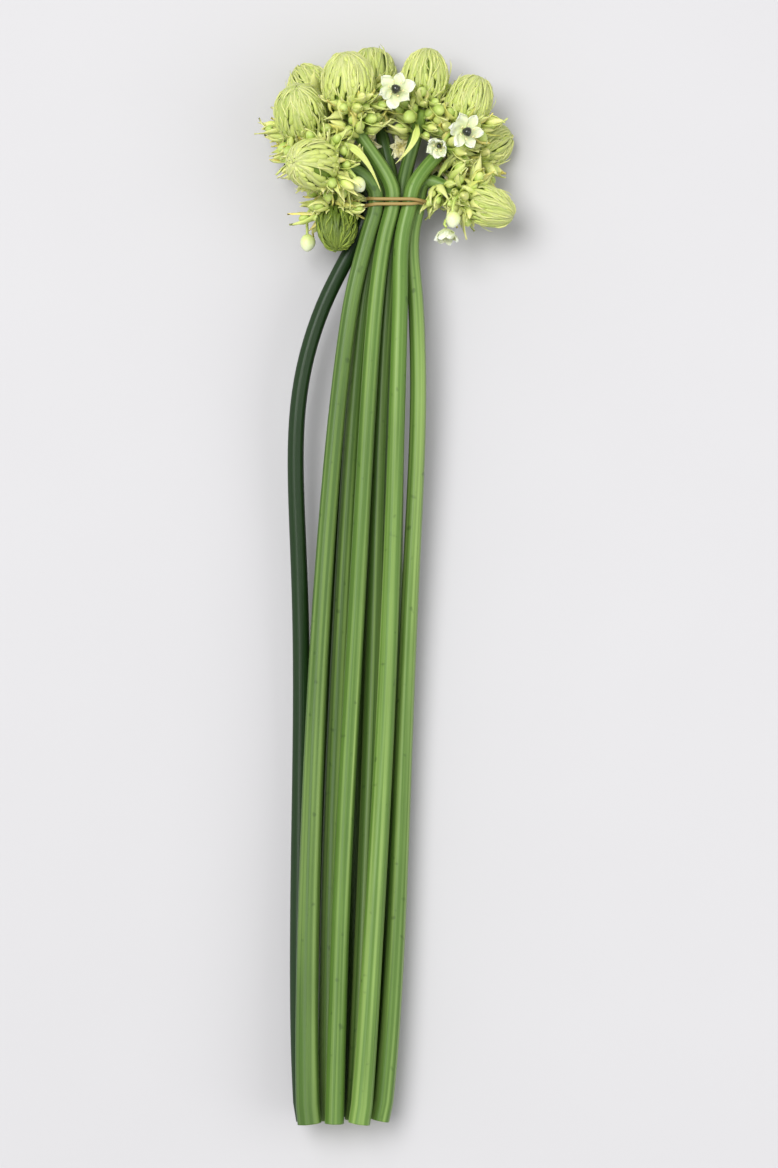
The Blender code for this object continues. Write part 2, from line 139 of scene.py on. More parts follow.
# Loose leaves: how far they reach, half their widths, how they ripple, and how thick they are
SOLID_LEAF_REACH = (0.012, 0.018)
SOLID_LEAF_ROOM = 0.0028
SOLID_LEAF_KEPT = 0.002
SOLID_LEAF_HALF_WIDTH = (0.0024, 0.0034)
LEAF_REACH = (0.003, 0.009)
LEAF_ASIDE = (-0.003, 0.005)
LEAF_ROOT_OUT = 0.0006
LEAF_HALF_WIDTH = (0.0026, 0.0046)
HANGING_REACH = (0.010, 0.016)
HANGING_OUT = (0.0022, 0.0034)
HANGING_ROOT_SUNK = 0.0008
HANGING_HALF_WIDTH = (0.0018, 0.0028)
LIMP_PETALS = 7
LIMP_REACH = (0.009, 0.013)
LIMP_HALF_WIDTH = (0.0026, 0.0036)
LEAF_GAP = 0.001
SMALL_RIPPLE = 0.0005
LEAF_RIPPLE = 0.0006
LIMP_RIPPLE = 0.0014
LEAF_THICKNESS = 0.00035

# Stalks, and the flowers' finer parts
BUD_STALK_RADIUS = 0.0008
LIMP_STALK_RADIUS = 0.0009
FLOWER_STALK_RADIUS = 0.0010
PETALS = 6
PETAL_BOW = (0.0010, 0.0018)
PETAL_LIFT = (-0.0008, 0.0020)
PETAL_RIPPLE = 0.0011
PETAL_THICKNESS = 0.0004
STAMEN_OUT = 0.0018
STAMEN_UP = 0.0006
FILAMENT_BOW = 0.0006
FILAMENT_RADII = (0.0004, 0.0003, 0.0002)
ANTHER_SIZE = Vector((0.00045, 0.00045, 0.0010))
BAND_STEPS = 72
BAND_SIDES = 12

# How far each colour of light goes inside living tissue, next to the others
SCATTER = (1.0, 0.9, 0.35)

# A stem's column and row in the tie, its thickness at the cut end, how far it bows aside, and its shade:
# how far its skin is painted dark, mostly painted shade on the stems lying under and behind the others and on
# the one in shadow at the left, with some tone of its own.
Stem = namedtuple("Stem", "column row share bow wobble shade")
STEMS = [
    Stem(-1.0, -1, 0.96, 0.000, 0.2, 0.30),
    Stem(0.0, -1, 1.02, 0.000, 1.9, 0.34),
    Stem(1.0, -1, 0.92, 0.000, 3.1, 0.42),
    Stem(-1.5, 0, 0.88, -0.018, 0.0, 0.00),
    Stem(-0.5, 0, 1.10, 0.000, 4.0, 0.50),
    Stem(0.5, 0, 0.94, 0.000, 5.3, 0.42),
    Stem(1.5, 0, 0.97, 0.005, 2.6, 0.80),
    Stem(-1.0, 1, 1.12, -0.001, 0.9, 0.54),
    Stem(0.0, 1, 0.90, 0.000, 3.7, 0.76),
    Stem(1.0, 1, 1.03, 0.001, 5.0, 0.92),
]

# A flower head: the middle of its body, the way its tip points, its size, its stem, how far the stem runs
# on as it leaves the tie and as it arrives, its tone from deep green to pale, and how coarse its bracts are.
# A head whose tone is under 0.3 gets the shaded skins, which are darker partly for its own deep green and
# partly as painted shade.
Head = namedtuple("Head", "centre points radius length stem leaves arrives tone coarse", defaults=(1.0,))
HEADS = [
    Head((-0.054, 0.076, -0.023), (-0.35, 0.85, -0.30), 0.0140, 0.038, 4, (-0.01, 0.05, -0.012), 0.040, 0.78),
    Head((-0.060, 0.057, 0.007), (-0.12, 0.78, 0.60), 0.0165, 0.042, 0, (-0.03, 0.045, -0.005), 0.045, 0.72),
    Head((-0.029, 0.075, 0.018), (-0.12, 0.93, 0.32), 0.0165, 0.042, 8, (0.0, 0.045, 0.004), 0.040, 0.95),
    Head((-0.013, 0.084, -0.016), (-0.10, 0.98, -0.15), 0.0145, 0.040, 1, (0.0, 0.045, 0.0), 0.040, 0.75),
    Head((0.020, 0.079, 0.006), (0.12, 0.97, 0.20), 0.0145, 0.042, 5, (0.0, 0.045, 0.0), 0.040, 0.85),
    Head((0.048, 0.064, 0.007), (0.42, 0.88, 0.22), 0.0140, 0.038, 9, (0.007, 0.045, 0.006), 0.040, 0.85),
    Head((0.060, 0.039, -0.0226), (0.75, 0.58, -0.28), 0.0140, 0.040, 2, (0.008, 0.04, -0.004), 0.040, 0.80),
    Head((0.059, -0.001, 0.004), (0.90, -0.42, 0.10), 0.0125, 0.040, 6, (0.006, 0.05, -0.003), 0.048, 0.82),
    Head(
        (-0.052, 0.022, 0.034), (-0.62, -0.05, 0.78), 0.0155, 0.038, 7, (-0.012, 0.045, 0.008), 0.045, 1.0,
        coarse=1.45,
    ),
    Head((-0.037, -0.014, 0.009), (0.05, -0.92, 0.38), 0.0125, 0.036, 3, (-0.014, 0.062, 0.008), 0.052, 0.0),
]

# A flower: the head that it grows from, its middle, the way it faces, how far it opens, and its size.
Flower = namedtuple("Flower", "head centre faces opening share")
FLOWERS = [
    Flower(4, (0.001, 0.070, 0.029), (0.05, 0.05, 1.0), 78, 1.0),
    Flower(5, (0.046, 0.044, 0.026), (0.25, -0.20, 1.0), 74, 1.0),
    Flower(5, (0.030, 0.036, 0.021), (-0.35, -0.45, 0.85), 38, 0.85),
    Flower(7, (0.034, -0.017, 0.004), (-0.10, -0.95, 0.25), 40, 0.95),
    Flower(3, (0.012, 0.064, -0.024), (0.50, -0.20, -0.80), 70, 0.95),
]

# A withered flower among the stems: the head that it grows from, its middle, and the way that it faces.
Withered = namedtuple("Withered", "head centre faces")
WITHERED = [
    Withered(3, (0.0045, 0.0385, -0.0120), (0.10, -0.35, 0.90)),
    Withered(7, (0.0300, 0.0270, -0.0100), (-0.30, -0.10, 0.90)),
    Withered(2, (-0.0190, 0.0420, -0.0040), (0.30, -0.50, 0.80)),
]

# A large bud that stands clear of its head: its middle, where its stalk bends, its radius, and how white.
LargeBud = namedtuple("LargeBud", "head centre bend radius white")
LARGE_BUDS = [
    LargeBud(8, (-0.023, 0.010, 0.026), (-0.030, 0.020, 0.026), 0.0046, 1.0),
    LargeBud(9, (-0.056, -0.025, 0.000), (-0.054, -0.002, -0.004), 0.0050, 0.7),
    LargeBud(7, (0.038, -0.012, 0.022), (0.040, 0.002, 0.018), 0.0048, 1.0),
    LargeBud(4, (0.010, 0.054, 0.021), (0.012, 0.058, 0.014), 0.0042, 0.0),
]

# A long pointed bract: the head that it grows from, three points along it, and half its width.
LongBract = namedtuple("LongBract", "head points half_width")
LONG_BRACTS = [
    LongBract(8, ((-0.033, 0.036, 0.030), (-0.019, 0.026, 0.0275), (-0.0085, 0.006, 0.020)), 0.0025),
    LongBract(4, ((0.015, 0.050, 0.012), (0.012, 0.037, 0.0185), (0.001, 0.024, 0.018)), 0.0024),
]

# A kind of small bud: the share of draws up to which it is picked, its size, its length for its width,
# its material in its piece, and how far its point is drawn out.
BudKind = namedtuple("BudKind", "up_to size stretch material beak")
BUD_KINDS = [
    BudKind(0.62, 1.00, 1.18, 0, 0.0),
    BudKind(0.85, 0.95, 1.35, 2, 1.1),
    BudKind(1.00, 0.95, 1.30, 2, 0.3),
]

Floret = namedtuple("Floret", "root centre radius run")


def from_screen(value):
    """One part of a colour as Blender counts it, from its 0 to 255 value on a screen."""
    return value / 3294.6 if value <= 10.31 else ((value / 255 + 0.055) / 1.055) ** 2.4


def colour_property(name, description, *screen):
    default = tuple(from_screen(value) for value in screen)
    return FloatVectorProperty(
        name=name, description=description, subtype="COLOR", size=3, min=0, max=1, default=default
    )


def length_property(name, description, default):
    return FloatProperty(name=name, description=description, default=default, min=0, unit="LENGTH")


def count_property(name, description, default, least, most):
    return IntProperty(name=name, description=description, default=default, min=least, max=most)


class StemSettings(bpy.types.PropertyGroup):
    sides: count_property("Sides", "Faces round a stem", 30, 8, 64)
    ribs: count_property("Ribs", "Low ribs round a stem", 6, 0, 16)
    rib_share: FloatProperty(
        name="Rib depth", description="Depth of a rib as a share of the radius", default=0.028, min=0, max=0.2
    )
    # The light colour is partly real stripes and partly a painted sheen; the dark colour is painted shade on
    # stems in shadow, and the real colour of the fine lines, blotches and spots.
    light: colour_property("Light", "Colour of a stem's light stripes", 164, 194, 108)
    middle: colour_property("Middle", "Colour of most of a stem", 108, 146, 60)
    dark: colour_property("Dark", "Colour of a stem in the shade", 24, 48, 17)
    neck: colour_property("Neck", "Colour of a stem where it meets its flower head", 160, 192, 84)
    cut: colour_property("Cut end", "Colour of the cut end's flesh", 214, 224, 168)


class HeadSettings(bpy.types.PropertyGroup):
    bracts: count_property("Bracts", "Bracts over one flower head", 180, 20, 300)
    base_width: length_property("Base width", "Half the width of a bract at the head's base", 0.0022)
    top_width: length_property("Top width", "Half the width of a bract near the head's tip", 0.0015)
    tail_width: length_property("Tail width", "Half the width of a bract's long tail", 0.00055)
    tail_length: length_property("Tail length", "Length of a bract with its tail", 0.029)
    strands: count_property("Strands", "Loose tails over one head", 70, 0, 200)
    shoulder: count_property("Shoulder buds", "Buds on a head's lower part", 14, 0, 40)
    hanging: count_property("Hanging bracts", "Bracts that hang from a head", 10, 0, 40)
    florets: count_property("Buds", "Stalked buds round the base", 36, 0, 60)
    pale: colour_property("Pale", "Colour of the bracts' tails", 221, 220, 152)
    green: colour_property("Green", "Colour of the bracts' bodies", 200, 211, 112)
    deep: colour_property("Deep", "Colour between the bracts", 128, 156, 54)
    # The shaded colours are partly the darkest head's own deep green and partly painted shade.
    shaded_pale: colour_property("Shaded pale", "Colour of the darkest head's tails", 156, 176, 70)
    shaded_green: colour_property("Shaded green", "Colour of the darkest head's bracts", 88, 112, 26)
    shaded_deep: colour_property("Shaded deep", "Colour between the darkest head's bracts", 42, 60, 10)
    bud: colour_property("Bud", "Colour of a closed bud", 170, 196, 92)
    bud_tip: colour_property("Bud tip", "Colour of a closed bud at its point", 210, 221, 134)
    white_bud: colour_property("White bud", "Colour of a bud that is about to open", 230, 233, 208)
    straw: colour_property("Straw", "Colour of the loose bracts at the base", 234, 227, 158)
    golden: colour_property("Golden", "Colour of the driest loose bracts", 238, 214, 116)
    withered: colour_property("Withered", "Colour of withered petals", 212, 198, 124)


class FlowerSettings(bpy.types.PropertyGroup):
    petal_length: length_property("Petal length", "Length of a petal from the middle", 0.0120)
    petal_width: length_property("Petal width", "Half the width of a petal", 0.0042)
    ovary_share: FloatProperty(
        name="Ovary size", description="Size of the ovary for the solid's", default=1.2, min=0.5, max=1.5
    )
    stamens: count_property("Stamens", "Stamens in a flower", 6, 0, 12)
    petal: colour_property("Petal", "Colour of the petals", 234, 236, 220)
    throat: colour_property("Throat", "Colour of the petals at the middle", 196, 208, 138)
    ovary: colour_property("Ovary", "Colour of the glossy ovary", 14, 20, 16)
    anther: colour_property("Anther", "Colour of the pollen sacs", 232, 220, 160)


class BandSettings(bpy.types.PropertyGroup):
    radius: length_property("Radius", "Half the thickness of the rubber band", 0.0011)
    spread: length_property("Spread", "Half the distance between the band's two turns", 0.0022)
    rubber: colour_property("Rubber", "Colour of the rubber band", 158, 134, 78)


class StageSettings(bpy.types.PropertyGroup):
    distance: length_property("Camera distance", "Height of the camera over the table", 2.4)
    view_height: length_property("View height", "Length of table that the picture takes in", 0.759)
    floor: colour_property("Floor", "Colour of the table top", 187, 186, 188)


class BunchSettings(bpy.types.PropertyGroup):
    stems: PointerProperty(type=StemSettings, name="Stems", description="The ten stems")
    heads: PointerProperty(type=HeadSettings, name="Heads", description="The ten flower heads")
    flowers: PointerProperty(type=FlowerSettings, name="Flowers", description="The open flowers")
    band: PointerProperty(type=BandSettings, name="Band", description="The rubber band at the tie")
    stage: PointerProperty(type=StageSettings, name="Stage", description="The table, lights and camera")


# Numbers, directions and places


def blend(low, high, share):
    return low + (high - low) * share


def clamp(value):
    return min(1.0, max(0.0, value))


def ease(share):
    share = clamp(share)
    return share * share * (3 - 2 * share)


def outward(turn):
    """The way straight out from an upright axis, at an angle round it."""
    return Vector((math.cos(turn), math.sin(turn), 0.0))


def leaning(turn, tilt):
    """The way that leans from an upright axis by a tilt, at an angle round it."""
    return outward(turn) * math.sin(tilt) + UP * math.cos(tilt)


def axes_along(direction, origin):
    """Axes with the origin given, whose +Z runs along a direction."""
    axes = direction.to_track_quat("Z", "Y").to_matrix().to_4x4()
    axes.translation = origin
    return axes


def axis_of(head):
    return Vector(head.points).normalized()


def neck_of(head):
    """The middle of the head's flat underside, where the stem meets it."""
    return Vector(head.centre) - axis_of(head) * (head.length / 2 - HEAD_SEAT)


def head_axes(head):
    return axes_along(axis_of(head), neck_of(head))


def of_head(pieces, index):
    return [piece for piece in pieces if piece.head == index]


def stem_radius(share, along):
    """Half a stem's thickness, from the cut end at 0 to the tie at 1."""
    return blend(CUT_END_RADIUS, TIE_RADIUS, along**0.9) * blend(share, 1.0, along)


def lower_point(stem, along):
    """The middle of a stem between the cut end at 0 and the tie at 1."""
    widest = max(stem_radius(other.share, along) for other in STEMS)
    radius = stem_radius(stem.share, along)
    touching = 2 * widest + LOOSE_GAP
    loosened = touching + LOOSEST_SPARE * math.sin(math.pi * along) ** SPREADS_EARLY
    gathered = ease((along - GATHERS_FROM) / (1 - GATHERS_FROM))
    pitch = blend(loosened, TIE_PITCH, gathered)
    spacing = blend(touching, ROW_NESTING * TIE_PITCH, gathered)
    risen = ease((along - LIE_FLAT_UNTIL) / (1 - LIE_FLAT_UNTIL))
    middle = blend(widest + spacing, -TABLE, risen)
    settled = widest - radius if stem.row < 0 else 0.0
    slide = ROW_SLIDE[stem.row] * (1 - ease(along / SLIDE_ENDS))
    bow = stem.bow * math.sin(math.pi * along**3) ** 2
    wobble = WOBBLE * math.sin(math.tau * along + stem.wobble) * math.sin(math.pi * along)
    from_tie = (1 - along) ** 2 / (1 - along + TURNS_ASIDE_OVER)
    lean = CUT_END_ASIDE * from_tie**LEANS_EARLY
    return Vector((
        lean + stem.column * pitch + slide + bow + wobble,
        blend(CUT_END, -STRAIGHT_AT_TIE, along),
        TABLE + middle + stem.row * spacing - settled,
    ))


def upper_point(head, along):
    """The middle of a stem between the tie at 0 and the head's neck at 1."""
    stem = STEMS[head.stem]
    start = Vector((stem.column * TIE_PITCH, STRAIGHT_AT_TIE, stem.row * ROW_NESTING * TIE_PITCH))
    end = neck_of(head) - axis_of(head) * (CLEARANCE + STRAIGHT_AT_NECK)
    square = along * along
    cube = square * along
    return (
        (2 * cube - 3 * square + 1) * start
        + (cube - 2 * square + along) * Vector(head.leaves)
        + (3 * square - 2 * cube) * end
        + (cube - square) * axis_of(head) * head.arrives
    )


def stem_line(head, lower_steps, upper_steps, neck_radius=NECK_RADIUS):
    """The points along a stem and its radius at each, from the cut end to the neck."""
    stem = STEMS[head.stem]
    line = []
    for step in range(lower_steps + 1):
        along = 1 - (1 - step / lower_steps) ** 1.3
        line.append((lower_point(stem, along), stem_radius(stem.share, along)))
    for step in range(upper_steps + 1):
        along = step / upper_steps
        line.append((upper_point(head, along), blend(TIE_RADIUS, neck_radius, along)))
    line.append((neck_of(head) - axis_of(head) * CLEARANCE, neck_radius))
    return line


def smoothed(line, rounds):
    """A line of points and radii with its bends eased, and its ends and their directions kept."""
    for _ in range(rounds):
        middle = [
            ((a[0] + b[0] * 2 + c[0]) / 4, (a[1] + b[1] * 2 + c[1]) / 4)
            for a, b, c in zip(line[1:], line[2:], line[3:])
        ]
        line = [*line[:2], *middle[:-1], *line[-2:]]
    return line


def stem_near(head, back):
    """A point on a stem's middle at a distance back from its neck, and the way that it runs there."""
    here = neck_of(head)
    if back <= 0:
        return here - axis_of(head) * back, axis_of(head)
    for step in range(60):
        there = upper_point(head, 1 - step / 60)
        run = here - there
        if run.length >= back or step == 59:
            return here - run.normalized() * back, run.normalized()
        back -= run.length
        here = there


def outside_head(head, point):
    """About how far a point lies outside a head's body."""
    offset = point - Vector(head.centre)
    along = offset.dot(axis_of(head))
    aside = (offset - axis_of(head) * along).length
    share = math.hypot(along / (head.length / 2), aside / head.radius)
    return offset.length * (1 - 1 / max(share, 0.001))


def outside_stem(line, point):
    """How far a point lies outside a stem."""
    nearest = math.inf
    for (start, radius), (end, _) in zip(line, line[1:]):
        run = end - start
        share = clamp((point - start).dot(run) / run.length_squared)
        nearest = min(nearest, (point - start - run * share).length - radius)
    return nearest


def is_clear(point, margin, head, lines, taken):
    """Whether a ball of this radius round a point misses the table, the stems, the buds and other heads."""
    others = (outside_head(other, point) for other in HEADS if other is not head)
    stems = (outside_stem(line, point) for line in lines)
    buds = ((point - spot).length - radius for spot, radius in taken)
    return min(*others, *stems, *buds, point.z - TABLE) > margin


def body_radius(share, widest):
    """A head's radius at a share of the way from its neck to its tip."""
    share = clamp(share)
    if share < WIDEST_AT:
        return blend(NECK_COLLAR, widest, math.sin(math.pi / 2 * share / WIDEST_AT))
    return widest * math.sqrt(max(0.0, 1 - ((share - WIDEST_AT) / (1 - WIDEST_AT)) ** TIP_FULLNESS))


def body_length(head):
    return head.length - HEAD_SEAT


def on_body(head, turn, share, widest, sunk):
    """A place on a head's body, or sunk in it, in the head's own axes."""
    return outward(turn) * (body_radius(share, widest) - sunk) + UP * (share * body_length(head))


def surface(head, place):
    """A head's radius and height at a place along its side, from the neck at 0 to the tip at 1."""
    share = place = clamp(place)
    if place > WIDEST_AT:
        share = WIDEST_AT + (1 - WIDEST_AT) * math.sin(math.pi / 2 * (place - WIDEST_AT) / (1 - WIDEST_AT))
    return body_radius(share, head.radius), share * body_length(head)


# Shapes


def new_shape():
    """An empty bmesh whose points know how far along their bract they are, and their own tone."""
    shape = bmesh.new()
    shape.verts.layers.float.new("along")
    shape.verts.layers.float.new("tone")
    return shape


def add_part(shape, part, place, tone, material=0, closed=True):
    """Adds a small bmesh to a large one, its faces outward if it is closed.

    place takes each of its points, and gives where that goes and how far along the piece it is.
    """
    alongs, tones = part.verts.layers.float["along"], part.verts.layers.float["tone"]
    for vert in part.verts:
        vert.co, vert[alongs] = place(vert.co)
        vert[tones] = tone
    for face in part.faces:
        face.material_index = material
    if closed:
        part.normal_update()
        bmesh.ops.recalc_face_normals(part, faces=part.faces)
    mesh = bpy.data.meshes.new("part")
    part.to_mesh(mesh)
    part.free()
    shape.from_mesh(mesh)
    bpy.data.meshes.remove(mesh)


def add_ball(shape, place, tone, around, rings, material=0):
    """Adds a ball of radius 1, with its points put where place says."""
    part = new_shape()
    bmesh.ops.create_uvsphere(part, u_segments=around, v_segments=rings, radius=1.0)
    add_part(shape, part, place, tone, material)


def add_drop(shape, spine, width, thickness, tone, around, rings, material=0, from_along=0.0):
    """A closed drop along a spine, which gives a point, a way across and a way up at each share."""
    sections = {}

    def place(spot):
        along = round(math.acos(max(-1.0, min(1.0, -spot.z))) / math.pi, 4)
        if along not in sections:
            sections[along] = (*spine(along), width(along), thickness(along))
        point, across, up, wide, thick = sections[along]
        angle = math.atan2(spot.y, spot.x)
        if 0.0 < along < 1.0:
            point = point + across * (wide * math.cos(angle)) + up * (thick * math.sin(angle))
        return point, blend(from_along, 1.0, along)

    add_ball(shape, place, tone, around, rings, material)


def add_blade(shape, spine, width, cup, tone, ripple, material=0, steps=(3, 7)):
    """A thin leaf along a spine, cupped upwards. Solidify gives it its thickness afterwards."""

    def place(spot):
        aside, along = spot.x, (spot.y + 1) / 2
        point, across, up = spine(along)
        half = width(along)
        crinkle = 0.6 * aside * aside * math.sin(17 * along + 60 * tone)
        wave = ripple * along * (math.sin(9 * along + 3.5 * aside + 40 * tone) + crinkle)
        return point + across * (half * aside) + up * (half * cup * aside * aside + wave), along

    part = new_shape()
    bmesh.ops.create_grid(part, x_segments=steps[0], y_segments=steps[1], size=1.0)
    add_part(shape, part, place, tone, material, closed=False)


def add_tube(shape, points, radii, sides, tone, ribs=0, rib_share=0.0):
    """A closed tube along points, whose sections turn as little as they can."""
    last = len(points) - 1
    part = new_shape()
    bmesh.ops.create_circle(part, cap_ends=True, segments=sides, radius=1.0)
    edges = part.edges[:]
    for _ in range(last):
        grown = bmesh.ops.extrude_edge_only(part, edges=edges)["geom"]
        edges = [element for element in grown if isinstance(element, bmesh.types.BMEdge)]
        fresh = [element for element in grown if isinstance(element, bmesh.types.BMVert)]
        bmesh.ops.translate(part, vec=UP, verts=fresh)
    bmesh.ops.contextual_create(part, geom=edges)
    sections = []
    side = (points[1] - points[0]).orthogonal().normalized()
    for index, point in enumerate(points):
        run = (points[min(index + 1, last)] - points[max(index - 1, 0)]).normalized()
        side = (side - run * side.dot(run)).normalized()
        sections.append((point, side, run.cross(side)))

    def place(spot):
        ring, angle = round(spot.z), math.atan2(spot.y, spot.x)
        point, across, up = sections[ring]
        radius = radii[ring] * (1 + rib_share * math.cos(ribs * angle))
        return point + across * (radius * math.cos(angle)) + up * (radius * math.sin(angle)), ring / last

    add_part(shape, part, place, tone)


def bent_spine(start, middle, end, up):
    """A smooth spine through three points, with its upper side towards a direction."""
    control = 2 * middle - (start + end) / 2

    def spine(along):
        point = start * (1 - along) ** 2 + control * (2 * along * (1 - along)) + end * along**2
        run = (control - start) * (1 - along) + (end - control) * along
        across = run.cross(up).normalized()
        return point, across, across.cross(run).normalized()

    return spine


def add_object(name, data):
    """A new object in the scene."""
    made = bpy.data.objects.new(name, data)
    bpy.context.scene.collection.objects.link(made)
    return made


def finish_piece(name, shape, materials, node=None):
    """Makes a bmesh, placed from the tie, a piece of the bunch at rest on the table."""
    bmesh.ops.translate(shape, vec=TIE_CENTRE, verts=shape.verts)
    for vert in shape.verts:
        vert.co.z = max(vert.co.z, CLEARANCE / 2)
    mesh = bpy.data.meshes.new(name)
    shape.to_mesh(mesh)
    shape.free()
    mesh.shade_smooth()
    for material in materials:
        mesh.materials.append(material)
    piece = add_object(name, mesh)
    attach(piece, "root")
    if node:
        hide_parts(node)
    return piece


def thicken(piece, thickness, rounds=0):
    """Gives leaves their thickness, and rounds them where they are seen close to."""
    wall = piece.modifiers.new("Thickness", "SOLIDIFY")
    wall.thickness = thickness
    wall.offset = 0.0
    wall.thickness_clamp = 1.0
    if rounds:
        smooth = piece.modifiers.new("Smooth", "SUBSURF")
        smooth.levels = smooth.render_levels = rounds


# Materials


def feed(node, inputs):
    """Gives a node's inputs their values, each another node's socket, a number, a vector or a colour."""
    for key, value in inputs.items():
        socket = node.inputs[key]
        if isinstance(value, bpy.types.NodeSocket):
            node.id_data.links.new(value, socket)
        else:
            socket.default_value = (*value, 1.0) if socket.type == "RGBA" else value


def add_node(tree, kind, inputs, **settings):
    """A shader node with its settings made, and then its inputs fed."""
    node = tree.nodes.new(f"ShaderNode{kind}")
    for name, value in settings.items():
        setattr(node, name, value)
    feed(node, inputs)
    return node


def mix_colour(tree, share, low, high):
    return add_node(tree, "Mix", {0: share, 6: low, 7: high}, data_type="RGBA").outputs[2]


def maths(tree, operation, *values, clamped=False):
    """One sum of sockets or plain values."""
    inputs = dict(enumerate(values))
    return add_node(tree, "Math", inputs, operation=operation, use_clamp=clamped).outputs[0]


def ramp(tree, value, low, high):
    """A value made to run from 0 to 1 between two of its own values."""
    return add_node(tree, "MapRange", {"Value": value, "From Min": low, "From Max": high}).outputs["Result"]


def attribute(tree, name, output="Fac"):
    return add_node(tree, "Attribute", {}, attribute_name=name).outputs[output]


def noise(tree, scale, detail, stretch=(1.0, 1.0, 1.0), vector=None):
    """A noise pattern on the piece's own coordinates, or on a vector given."""
    vector = vector or add_node(tree, "TexCoord", {}).outputs["Object"]
    place = add_node(tree, "Mapping", {"Vector": vector, "Scale": stretch}).outputs["Vector"]
    return add_node(tree, "TexNoise", {"Vector": place, "Scale": scale, "Detail": detail}).outputs["Fac"]


def bumps(tree, height, strength, distance):
    inputs = {"Height": height, "Strength": strength, "Distance": distance}
    return add_node(tree, "Bump", inputs).outputs["Normal"]


def new_group(name, inputs, outputs):
    """An empty shader node group with named sockets, what it is given, and its end node."""
    group = bpy.data.node_groups.new(name, "ShaderNodeTree")
    for way, sockets in (("INPUT", inputs), ("OUTPUT", outputs)):
        for socket, kind in sockets.items():
            group.interface.new_socket(name=socket, in_out=way, socket_type=f"NodeSocket{kind}")
    return group, group.nodes.new("NodeGroupInput").outputs, group.nodes.new("NodeGroupOutput")


def shared_group(tree, name, make, inputs):
    """A node group placed in a material with its own values. make builds it the first time."""
    group = bpy.data.node_groups.get(name) or make(name)
    return add_node(tree, "Group", inputs, node_tree=group).outputs[0]


def plant_colour(name):
    """Colour of living tissue: from root to tip, darker or paler by its tone, with soft mottling."""
    inputs = {socket: "Color" for socket in ("Root", "Tip", "Deep")}
    inputs |= {socket: "Float" for socket in ("Along", "Tone", "Mottle")}
    group, given, end = new_group(name, inputs, {"Colour": "Color"})
    base = mix_colour(group, given["Along"], given["Root"], given["Tip"])
    darker = maths(group, "MULTIPLY", maths(group, "SUBTRACT", 1.0, given["Tone"], clamped=True), 0.9)
    shaded = mix_colour(group, darker, base, given["Deep"])
    spots = maths(group, "MULTIPLY", noise(group, 260.0, 4.0), given["Mottle"])
    blotches = maths(group, "MULTIPLY", noise(group, 60.0, 2.0), given["Mottle"])
    mottling = maths(group, "ADD", spots, blotches, clamped=True)
    feed(end, {"Colour": mix_colour(group, mottling, shaded, given["Deep"])})
    return group


def fine_lines(name):
    """Fine raised lines that run along the bunch."""
    group, given, end = new_group(name, {"Scale": "Float", "Depth": "Float"}, {"Normal": "Vector"})
    lines = noise(group, given["Scale"], 3.0, (1.0, 0.06, 1.0))
    feed(end, {"Normal": bumps(group, lines, given["Depth"], 0.0004)})
    return group


def new_material(name, roughness, soft=0.0, specular=0.35):
    """A material with its Principled shader, and the shader's plain values set on its own sockets."""
    material = bpy.data.materials.new(name)
    material.use_nodes = True
    shader = material.node_tree.nodes["Principled BSDF"]
    feed(shader, {"Roughness": roughness, "Specular IOR Level": specular})
    if soft:
        feed(shader, {"Subsurface Weight": soft, "Subsurface Radius": SCATTER, "Subsurface Scale": 0.0022})
    return material, material.node_tree, shader


def plant_material(
    name, root, tip, deep, roughness, mottle=0.14, soft=0.25, lines=(500.0, 0.25), tone=None, specular=0.35
):
    """Leaf, bract, bud or petal tissue, from its root colour to its tip colour."""
    material, tree, shader = new_material(name, roughness, soft, specular)
    colours = {"Root": root, "Tip": tip, "Deep": deep, "Along": attribute(tree, "along"), "Mottle": mottle}
    colours["Tone"] = attribute(tree, "tone") if tone is None else tone
    ribs = dict(zip(("Scale", "Depth"), lines))
    feed(shader, {
        "Base Color": shared_group(tree, "plant_colour", plant_colour, colours),
        "Normal": shared_group(tree, "fine_lines", fine_lines, ribs),
    })
    return material


def stem_material(colours):
    """A ribbed green stem: long light and dark stripes, the light ones partly real stripes and partly a
    painted sheen; darker overall by its tone, which is painted shade on stems in shadow; paler at the neck
    and at the cut end.
    """
    material, tree, shader = new_material("stem_skin", 0.38, soft=0.1, specular=0.3)
    where = attribute(tree, "round", "Vector")
    tone = attribute(tree, "tone")
    fine = noise(tree, 1.0, 2.0, (9.0, 0.7, 9.0), where)
    # Broad light bands along the stem: partly real stripes, partly a painted sheen.
    light = ramp(tree, noise(tree, 1.0, 1.0, (2.2, 0.25, 2.2), where), 0.42, 0.74)
    spots = ramp(tree, noise(tree, 150.0, 1.0), 0.69, 0.78)
    layers = [
        (maths(tree, "MULTIPLY", light, tone), colours.light),
        (maths(tree, "MULTIPLY", fine, 0.38), colours.dark),
        (maths(tree, "MULTIPLY", noise(tree, 16.0, 2.0), 0.34), colours.dark),
        (maths(tree, "MULTIPLY", spots, 0.4), colours.dark),
        (ramp(tree, attribute(tree, "along"), 0.93, 1.0), colours.neck),
        (attribute(tree, "cut"), colours.cut),
    ]
    # From the dark colour to the middle one by the stem's tone: painted shade on stems lying in shadow, which
    # also lose their light bands.
    skin = mix_colour(tree, tone, colours.dark, colours.middle)
    for share, colour in layers:
        skin = mix_colour(tree, share, skin, colour)
    feed(shader, {
        "Base Color": skin,
        "Roughness": maths(tree, "MULTIPLY_ADD", fine, 0.2, 0.3),
        "Normal": bumps(tree, fine, 0.35, 0.0005),
    })
    return material


# Stems


